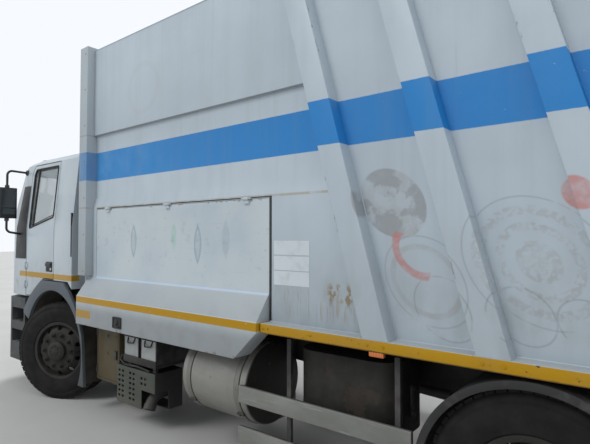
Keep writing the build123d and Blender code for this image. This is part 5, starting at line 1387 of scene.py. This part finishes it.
# Fuel tank: filler neck, strap bolts, drain plug and lines
tank_y = 0.795
tank_z = 0.620
tank_radius = 0.315
bm = bmesh.new()
neck_lean = Vector((0, 0.60, 0.80))
neck = frame_at(Vector((0.40, tank_y, tank_z)) + neck_lean * tank_radius, neck_lean, (1, 0, 0))
add_lathe(bm, neck, ((0, 0.038), (0.030, 0.038), (0.040, 0.032), (0.042, 0.014), (0.034, 0.010),
                     (0.034, -0.01), (0, -0.01)), sides=32)
add_box(bm, (0.375, 0.425), (0.994, 1.002), (0.900, 0.908))
for x in (0.02, 0.56):
    for turn in (-0.62, 0.95):
        far = tank_radius + 0.010
        spot = Vector((x, tank_y + far * math.cos(turn), tank_z + far * math.sin(turn)))
        lay = Vector((0, math.cos(turn), math.sin(turn)))
        add_bar(bm, spot - Vector((0.034, 0, 0)), spot + Vector((0.034, 0, 0)), 0.010, 12)
        add_bar(bm, spot, spot + lay * 0.016, 0.009, 6)
add_lathe(bm, frame_at((0.29, tank_y, tank_z - tank_radius), (0, 0, -1), (1, 0, 0)),
          ((0, 0.014), (0.016, 0.014), (0.018, 0.004), (0.028, 0.002), (0.028, -0.004), (0, -0.004)),
          sides=24)
finish_piece("tank_fittings", bm, cast_coat, "chassis")
bm = bmesh.new()
for x in (0.16, 0.22):
    add_pipe(bm, ((x, tank_y - 0.05, 0.93), (x, 0.66, 0.955), (x + 0.03, 0.52, 0.90),
                  (x + 0.03, lead_end_y, 0.86)), 0.008, sides=8, bend=0.03)
finish_piece("fuel_lines", bm, black_rubber, "chassis")

# Locker: its lid's shut line, hinges and latch
face_y = 1.0505
bm = bmesh.new()
lid = ((1.690, 0.345), (2.050, 0.345), (2.050, 0.865), (1.690, 0.865))
closed_pipe(bm, [(x, face_y, z) for x, z in lid], 0.003, sides=6)
for z in (0.42, 0.79):
    add_bar(bm, (2.058, face_y + 0.003, z - 0.03), (2.058, face_y + 0.003, z + 0.03), 0.008, 10)
add_box(bm, (1.700, 1.745), (face_y - 0.004, face_y + 0.012), (0.560, 0.640))
finish_piece("locker_fittings", bm, trim_plastic, "chassis", bevel=0.001)

# Black strips along the service hatch's rear and top edges: painted shade in the gaps there.
bm = bmesh.new()
gap_strip_x = aft(3.158)
add_box(bm, (gap_strip_x - 0.016, gap_strip_x - 0.001), (1.138, 1.1475), (1.170, 2.021))
add_box(bm, (gap_strip_x, 1.93), (1.140, 1.1470), (2.0125, 2.0205))
finish_piece("hatch_gap_shade", bm, black_rubber, "chassis", bevel=0.001)

# Rear door: bolts up its frame, latches, grab handles and round reflectors
door_lean = math.atan(lean)
door_turn = (0.0, door_lean - math.pi / 2, 0.0)
door_out = Vector((-math.cos(door_lean), 0, math.sin(door_lean)))
door_depth = 0.120
skin_depth = 0.045


def door_spot(y, z, depth=door_depth):
    """A point on the rear door's outer face, or nearer the load by a smaller depth."""
    return Vector((-3.908 + lean * (z - rail_high_z) - depth, y, z))


bm = bmesh.new()
bolt_step = Vector((lean * 0.165, 0, 0.165))
rows = [(door_spot(y, 1.30), bolt_step, 13, 0.009, 0.008, 6, door_turn) for y in (-1.08, -0.06, 0.06, 1.08)]
rows += [(door_spot(-0.92, z), (0, 0.23, 0), 9, 0.007, 0.006, 6, door_turn) for z in (1.965, 2.715, 3.500)]
add_heads(bm, rows)
finish_piece("rear_door_bolts", bm, end_paint, "rear_door")
bm = bmesh.new()
for side in both_sides:
    for low in (1.42, 2.10):
        grip = [door_spot(side * 0.90, low, skin_depth), door_spot(side * 0.90, low, skin_depth + 0.06),
                door_spot(side * 0.90, low + 0.30, skin_depth + 0.06),
                door_spot(side * 0.90, low + 0.30, skin_depth)]
        add_pipe(bm, grip, 0.011, sides=10, bend=0.03)
    place = frame_at(door_spot(side * 1.02, 1.185), door_out)
    add_plate(bm, rectangle(0.055, -0.045, 0.045), place, 0.010)
    add_bar(bm, place @ Vector((-0.045, 0.0, 0.030)), place @ Vector((0.045, 0.0, 0.030)), 0.016, 20)
    add_plate(bm, rectangle(0.014, -0.050, 0.075), place @ Matrix.Translation((0, 0, 0.038)), 0.012)
finish_piece("rear_door_latches", bm, cast_coat, "rear_door", bevel=0.002)
bm = bmesh.new()
for side in both_sides:
    add_lathe(bm, frame_at(door_spot(side * 0.62, 1.175), door_out),
              ((0, 0.009), (0.034, 0.007), (0.038, 0.003), (0.038, -0.003), (0, -0.003)), sides=32)
finish_piece("rear_reflectors", bm, amber_lens, "rear_door")

# Lamp board: frames round the lamps, leads, a blank plate with its two lights, and the bar's end caps
board_face_x = -4.060
frame_x = (board_face_x - 0.026, board_face_x)
bm = bmesh.new()
for side in both_sides:
    y0, y1 = sorted((side * 0.632, side * 1.088))
    for z in ((0.829, 0.841), (0.959, 0.971)):
        add_box(bm, frame_x, (y0, y1), z)
    for y in ((y0 - 0.008, y0 + 0.004), (y1 - 0.004, y1 + 0.008)):
        add_box(bm, frame_x, y, (0.829, 0.971))
    lead = ((board_face_x + 0.020, side * 0.72, 0.90), (board_face_x + 0.08, side * 0.72, 0.89),
            (board_face_x + 0.09, side * 0.54, 0.86), (board_face_x + 0.18, side * lead_end_y, 0.86))
    add_pipe(bm, lead, 0.008, sides=8, bend=0.03)
    add_box(bm, (-4.108, -4.030), (side * 1.146, side * 1.160), (0.434, 0.566))
    add_box(bm, (board_face_x - 0.030, board_face_x), (side * 0.13, side * 0.19), (0.958, 0.976))
add_box(bm, (board_face_x - 0.006, board_face_x), (-0.275, 0.275), (0.832, 0.956))
finish_piece("lamp_frames", bm, trim_plastic, "chassis", bevel=0.002)
bm = bmesh.new()
add_box(bm, (board_face_x - 0.008, board_face_x - 0.005), (-0.260, 0.260), (0.840, 0.950))
finish_piece("blank_plate", bm, sticker_film, "chassis", bevel=0.001)
bm = bmesh.new()
rows = []
for side in both_sides:
    for y in (0.40, 0.43):
        rows.append(((-4.103, side * y, 0.475), (0, 0, 0.05), 2, 0.010, 0.009, 6, along_turn))
    for z in (0.762, 0.940):
        rows.append(((2.05, side * 0.4535, z), (-0.2415, 0, 0), 25, 0.009, 0.009, 6, across_turn))
add_heads(bm, rows)
finish_piece("frame_bolts", bm, chassis_coat, "chassis")

# Rams: gland collars, ports and a steel line along each barrel
# Name, body, foot, head, barrel length, way that the line lies off the barrel
rams = [("rear_ram_glands_" + side_name, "rear_ram_barrels", (-3.4856, side * 1.195, 1.9503),
         (-3.4011, side * 1.195, 3.1712), 0.760, (-0.9976, 0, 0.0691)) for side_name, side in named_sides]
rams.append(("lifter_ram_gland", "lifter_ram_barrel", (0.80, -0.79, 1.33), (0.80, -0.955, 2.04), 0.520,
             (1, 0, 0)))
for name, body, foot, head, length, beside in rams:
    foot, beside = Vector(foot), Vector(beside)
    run = (Vector(head) - foot).normalized()
    place = frame_at(foot, run, beside)
    bm = bmesh.new()
    add_lathe(bm, place, ((0.0402, length - 0.036), (0.0465, length - 0.034), (0.0465, length - 0.003),
                          (0.0440, length + 0.007), (0.0275, length + 0.007), (0.0275, length + 0.001),
                          (0.0402, length + 0.001)), sides=40, closed=True)
    for far in (0.085, length - 0.060):
        add_bar(bm, foot + run * far + beside * 0.036, foot + run * far + beside * 0.056, 0.011, 12)
    line = ((0.085, 0.056), (0.130, 0.062), (length - 0.100, 0.062), (length - 0.060, 0.056))
    add_pipe(bm, [foot + run * far + beside * off for far, off in line], 0.006, sides=8, bend=0.012)
    finish_piece(name, bm, cast_coat, body)

# Underside: bolts round the springs, brake chambers, air lines, shaft joints and the exhaust's pipe
bm = bmesh.new()
spring_top_z = 0.708
inner_y, outer_y = 0.368, 0.462
for axle_x in (front_axle_x, rear_axle_x):
    for side in both_sides:
        for x in (axle_x - 0.052, axle_x + 0.052):
            loop = [(x, side * y, z) for y, z in ((inner_y, 0.515), (inner_y, spring_top_z),
                                                  (outer_y, spring_top_z), (outer_y, 0.515))]
            add_pipe(bm, loop, 0.008, sides=8, bend=0.012)
            for y in (inner_y, outer_y):
                add_bar(bm, (x, side * y, 0.498), (x, side * y, 0.512), 0.014, 6)
        for x in (axle_x - 0.24, axle_x + 0.24):
            add_box(bm, (x - 0.020, x + 0.020), (side * 0.371, side * 0.459), (0.668, 0.7115))
finish_piece("spring_bolts", bm, cast_coat, "chassis")

bm = bmesh.new()
for side in both_sides:
    start = Vector((rear_axle_x + 0.095, side * 0.275, 0.640))
    place = frame_at(start, (1, 0, 0))
    add_lathe(bm, place, ((0, 0), (0.045, 0), (0.072, 0.020), (0.074, 0.070), (0.082, 0.072),
                          (0.082, 0.084), (0.074, 0.086), (0.072, 0.150), (0.050, 0.168), (0, 0.168)),
              sides=32)
    add_bar(bm, start - Vector((0.060, 0, 0)), start + Vector((0.004, 0, 0)), 0.012, 12)
    add_box(bm, (rear_axle_x - 0.010, rear_axle_x + 0.045), (side * 0.262, side * 0.288), (0.575, 0.665))
    hose = ((0.10, 0, 0.07), (0.12, 0, 0.17), (0.22, side * 0.09, 0.24), (0.40, side * 0.10, 0.24))
    add_pipe(bm, [start + Vector(p) for p in hose], 0.008, sides=8, bend=0.04)
finish_piece("brake_chambers", bm, chassis_coat, "chassis")

bm = bmesh.new()
for z in (0.940, 0.958):
    for y in (0.355, -0.355):
        add_pipe(bm, ((2.18, y, z), (-0.9, y, z), (-3.72, y, z)), 0.007, sides=8)
clips = [bar_line.mesh(Start=(2.0, y, 0.952), Step=(-0.47, 0, 0), Count=13, Size=(0.018, 0.036, 0.046),
                       Turn=flat_turn) for y in (0.366, -0.366)]
join_meshes(bm, clips)
add_pipe(bm, ((2.18, 0.355, 0.958), (2.24, 0.40, 1.00), (2.27, 0.40, 1.08), (2.23, 0.30, 1.14)), 0.009,
         sides=8, bend=0.03)
finish_piece("air_lines", bm, black_rubber, "chassis")

bm = bmesh.new()
shaft_low = Vector((rear_axle_x + 0.39, 0, hub_z))
shaft_high = Vector((1.52, 0, 0.690))
shaft_run = (shaft_high - shaft_low).normalized()
for spot in (shaft_low + shaft_run * 0.12, shaft_high - shaft_run * 0.10):
    place = frame_at(spot, shaft_run)
    add_lathe(bm, place, ((0.048, -0.06), (0.072, -0.05), (0.078, -0.03), (0.078, 0.03), (0.072, 0.05),
                          (0.048, 0.06)), sides=28)
    for turn in (0.0, math.pi / 2):
        lay = place.to_3x3() @ Vector((math.cos(turn), math.sin(turn), 0))
        add_bar(bm, spot - lay * 0.088, spot + lay * 0.088, 0.018, 14)
studs = stud_ring.mesh(Count=8, Radius=0.060, Offset=0.006, Head=0.008, Height=0.012, Sides=6)
join_meshes(bm, [studs], frame_at(shaft_low + Vector((0.045, 0, 0)), (1, 0, 0)))
finish_piece("shaft_joints", bm, cast_coat, "chassis")

silencer_y = -0.72
silencer_z = 0.60
bm = bmesh.new()
add_pipe(bm, ((2.42, -0.340, 0.670), (2.32, -0.45, 0.600), (2.10, -0.55, silencer_z),
              (1.95, silencer_y, silencer_z), (1.80, silencer_y, silencer_z)), 0.048, sides=20, bend=0.05)
low_y, high_y = -1.046, -0.514
low_z, high_z = 0.374, 0.866
corner_cut = 0.051
for x in (1.30, 1.64):
    band = [(x, y, z) for y, z in ((high_y, low_z + corner_cut), (high_y, high_z - corner_cut),
                                   (high_y - corner_cut, high_z), (low_y + corner_cut, high_z),
                                   (low_y, high_z - corner_cut), (low_y, low_z + corner_cut),
                                   (low_y + corner_cut, low_z), (high_y - corner_cut, low_z))]
    closed_pipe(bm, band, 0.008, sides=8)
add_lathe(bm, frame_at((1.838, silencer_y, silencer_z), (1, 0, 0)),
          ((0.0482, -0.018), (0.062, -0.016), (0.062, 0.0), (0.0482, 0.004)), sides=28, closed=True)
finish_piece("exhaust_pipe", bm, cast_coat, "chassis")

# Air tanks: bands, end seams and drain taps
air_tank_z = 0.64
bm = bmesh.new()
for y in (-0.64, -0.94):
    for x in (0.02, 0.12, 0.42, 0.52):
        place = frame_at((x, y, air_tank_z), (1, 0, 0))
        add_lathe(bm, place, ((0.1352, -0.016), (0.1385, -0.015), (0.1385, 0.015), (0.1352, 0.016)),
                  sides=48, closed=True)
    for x in (-0.045, 0.585):
        add_bar(bm, (x, y, 0.478), (x, y, 0.508), 0.013, 12)
        add_bar(bm, (x - 0.022, y, 0.484), (x + 0.022, y, 0.484), 0.006, 10)
finish_piece("air_tank_bands", bm, cast_coat, "chassis")

# Lifter: rubber pads, bolts, corner gussets and a pair of hoses down the front arm
arm_front_x = 1.690
arm_rear_x = -0.090
arm_y = -0.980
beam_face_y = -1.030
pad_count = 4
pad_pitch = 0.395
bm = bmesh.new()
for pad in range(pad_count):
    x = 0.2075 + pad_pitch * pad
    add_box(bm, (x - 0.055, x + 0.055), (beam_face_y - 0.014, beam_face_y), (1.020, 1.090))
for lay in (-0.020, 0.020):
    add_pipe(bm, ((1.618, arm_y + lay, 1.130), (1.618, arm_y + lay, 2.060), (1.585, arm_y + lay, 2.140)),
             0.009, sides=10, bend=0.04)
finish_piece("lifter_pads", bm, black_rubber, "lifter_arm", bevel=0.002)
bm = bmesh.new()
for inner_x, way in ((arm_front_x - 0.060, -1), (arm_rear_x + 0.060, 1)):
    for y in (arm_y - 0.040, arm_y + 0.030):
        outline = ((inner_x, 1.110), (inner_x + way * 0.16, 1.110), (inner_x, 1.270))
        add_plate(bm, outline, Matrix(((1, 0, 0, 0), (0, 0, 1, y), (0, 1, 0, 0), (0, 0, 0, 1))), 0.010)
    for z in (1.36, 1.62, 1.88):
        add_box(bm, (inner_x, inner_x + way * 0.026), (arm_y - 0.036, arm_y + 0.036),
                (z - 0.010, z + 0.010))
rows = [((0.109 + pad_pitch * pad, beam_face_y - 0.003, z), (0, 0, 0.04), 1, 0.011, 0.009, 6, across_turn)
        for pad in range(pad_count) for z in (1.035, 1.075)]
rows += [((x, arm_y - 0.058, z), (0, 0, 0.035), 2, 0.011, 0.009, 6, across_turn)
         for x in (arm_front_x - 0.030, arm_rear_x + 0.030) for z in (1.16, 2.05)]
add_heads(bm, rows)
finish_piece("lifter_gussets", bm, lifter_yellow, "lifter_arm", bevel=0.001)

# Plain control box with three buttons on the right front post
box_y = -1.190
bm = bmesh.new()
add_box(bm, (2.030, 2.130), (box_y, -1.140), (1.200, 1.340))
add_pipe(bm, ((2.080, -1.165, 1.205), (2.080, -1.165, 1.120), (2.080, -1.150, 1.080)), 0.009, sides=8,
         bend=0.02)
finish_piece("control_box", bm, trim_plastic, "chassis", bevel=0.004)
for name, z, finish in (("stop_button", 1.305, lens("stop_lens", (0.50, 0.015, 0.010))),
                        ("raise_button", 1.268, lens("raise_lens", (0.02, 0.25, 0.06))),
                        ("lower_button", 1.235, black_rubber)):
    bm = bmesh.new()
    radius = 0.015 if z > 1.30 else 0.010
    button = ((0, 0.012), (radius - 0.003, 0.012), (radius, 0.008), (radius, -0.002), (0, -0.002))
    add_lathe(bm, frame_at((2.080, box_y, z), (0, -1, 0)), button, sides=24)
    finish_piece(name, bm, finish, "chassis")

# Oil tank: drain plug, and a level gauge on its rear end
bm = bmesh.new()
add_box(bm, (-1.222, -1.208), (0.785, 0.815), (0.640, 0.800))
for z in (0.640, 0.800):
    add_bar(bm, (-1.205, 0.800, z), (-1.230, 0.800, z), 0.020, 20)
add_bar(bm, (-0.840, 0.800, 0.498), (-0.840, 0.800, 0.522), 0.022, 6)
finish_piece("oil_tank_fittings", bm, cast_coat, "chassis", bevel=0.002)

# Lifting rings folded flat on the body's roof
bm = bmesh.new()
ring_radius = 0.034
for x in (-0.62, -2.72):
    for side in both_sides:
        y = side * 0.98
        add_box(bm, (x - 0.060, x + 0.060), (y - 0.045, y + 0.045), (roof_z - 0.001, roof_z + 0.009))
        ring = [(x + ring_radius * math.cos(a), y + ring_radius * math.sin(a), roof_z + 0.018)
                for a in (2 * math.pi * part / 16 for part in range(16))]
        add_pipe(bm, [*ring, ring[0]], 0.009, sides=10)
finish_piece("lifting_rings", bm, cast_coat, "chassis")


# The pale floor
floor_finish = Finish("pale_floor", rough=0.85)
floor_finish.colour(floor_finish.blend(floor_finish.patches(0.3, 0.7, 0.8),
                                       (0.50, 0.50, 0.49), (0.54, 0.54, 0.53)))
bm = bmesh.new()
bmesh.ops.create_grid(bm, x_segments=1, y_segments=1, size=60)
floor_mesh = bpy.data.meshes.new("floor")
bm.to_mesh(floor_mesh)
bm.free()
floor_mesh.materials.append(floor_finish.material)
floor = bpy.data.objects.new("floor", floor_mesh)
floor.location.z = -0.001
bpy.context.collection.objects.link(floor)
floor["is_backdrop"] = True

# Lamps: name, strength, angular size in degrees, direction that the light travels
suns = (
    ("key_sun", 1.10, 25, (-0.25, -0.75, -0.75)),
    ("far_sun", 1.5, 25, (-0.50, 0.70, -0.80)),
    ("rear_sun", 0.6, 30, (0.90, -0.08, -0.45)),
)
for name, strength, spread, travel in suns:
    lamp = bpy.data.lights.new(name, "SUN")
    lamp.energy = strength
    lamp.angle = math.radians(spread)
    holder = bpy.data.objects.new(name, lamp)
    holder.rotation_mode = "QUATERNION"
    holder.rotation_quaternion = Vector(travel).to_track_quat("-Z", "Y")
    bpy.context.collection.objects.link(holder)
# The sky's strength on the truck; the camera, gloss and glass see it at 1
sky_light = 0.55
world = bpy.data.worlds.new("studio")
world.use_nodes = True
bpy.context.scene.world = world
sky = Graph(world.node_tree)
backdrop = world.node_tree.nodes["Background"]
rays = world.node_tree.nodes.new("ShaderNodeLightPath")
seen = Shade(sky, rays.outputs["Is Camera Ray"]).most(Shade(sky, rays.outputs["Is Glossy Ray"])).most(
    Shade(sky, rays.outputs["Is Transmission Ray"]))
backdrop.inputs["Color"].default_value = (0.93, 0.96, 1.0, 1)
sky.feed(backdrop.inputs["Strength"], sky_light + (1 - sky_light) * seen)

low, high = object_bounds()
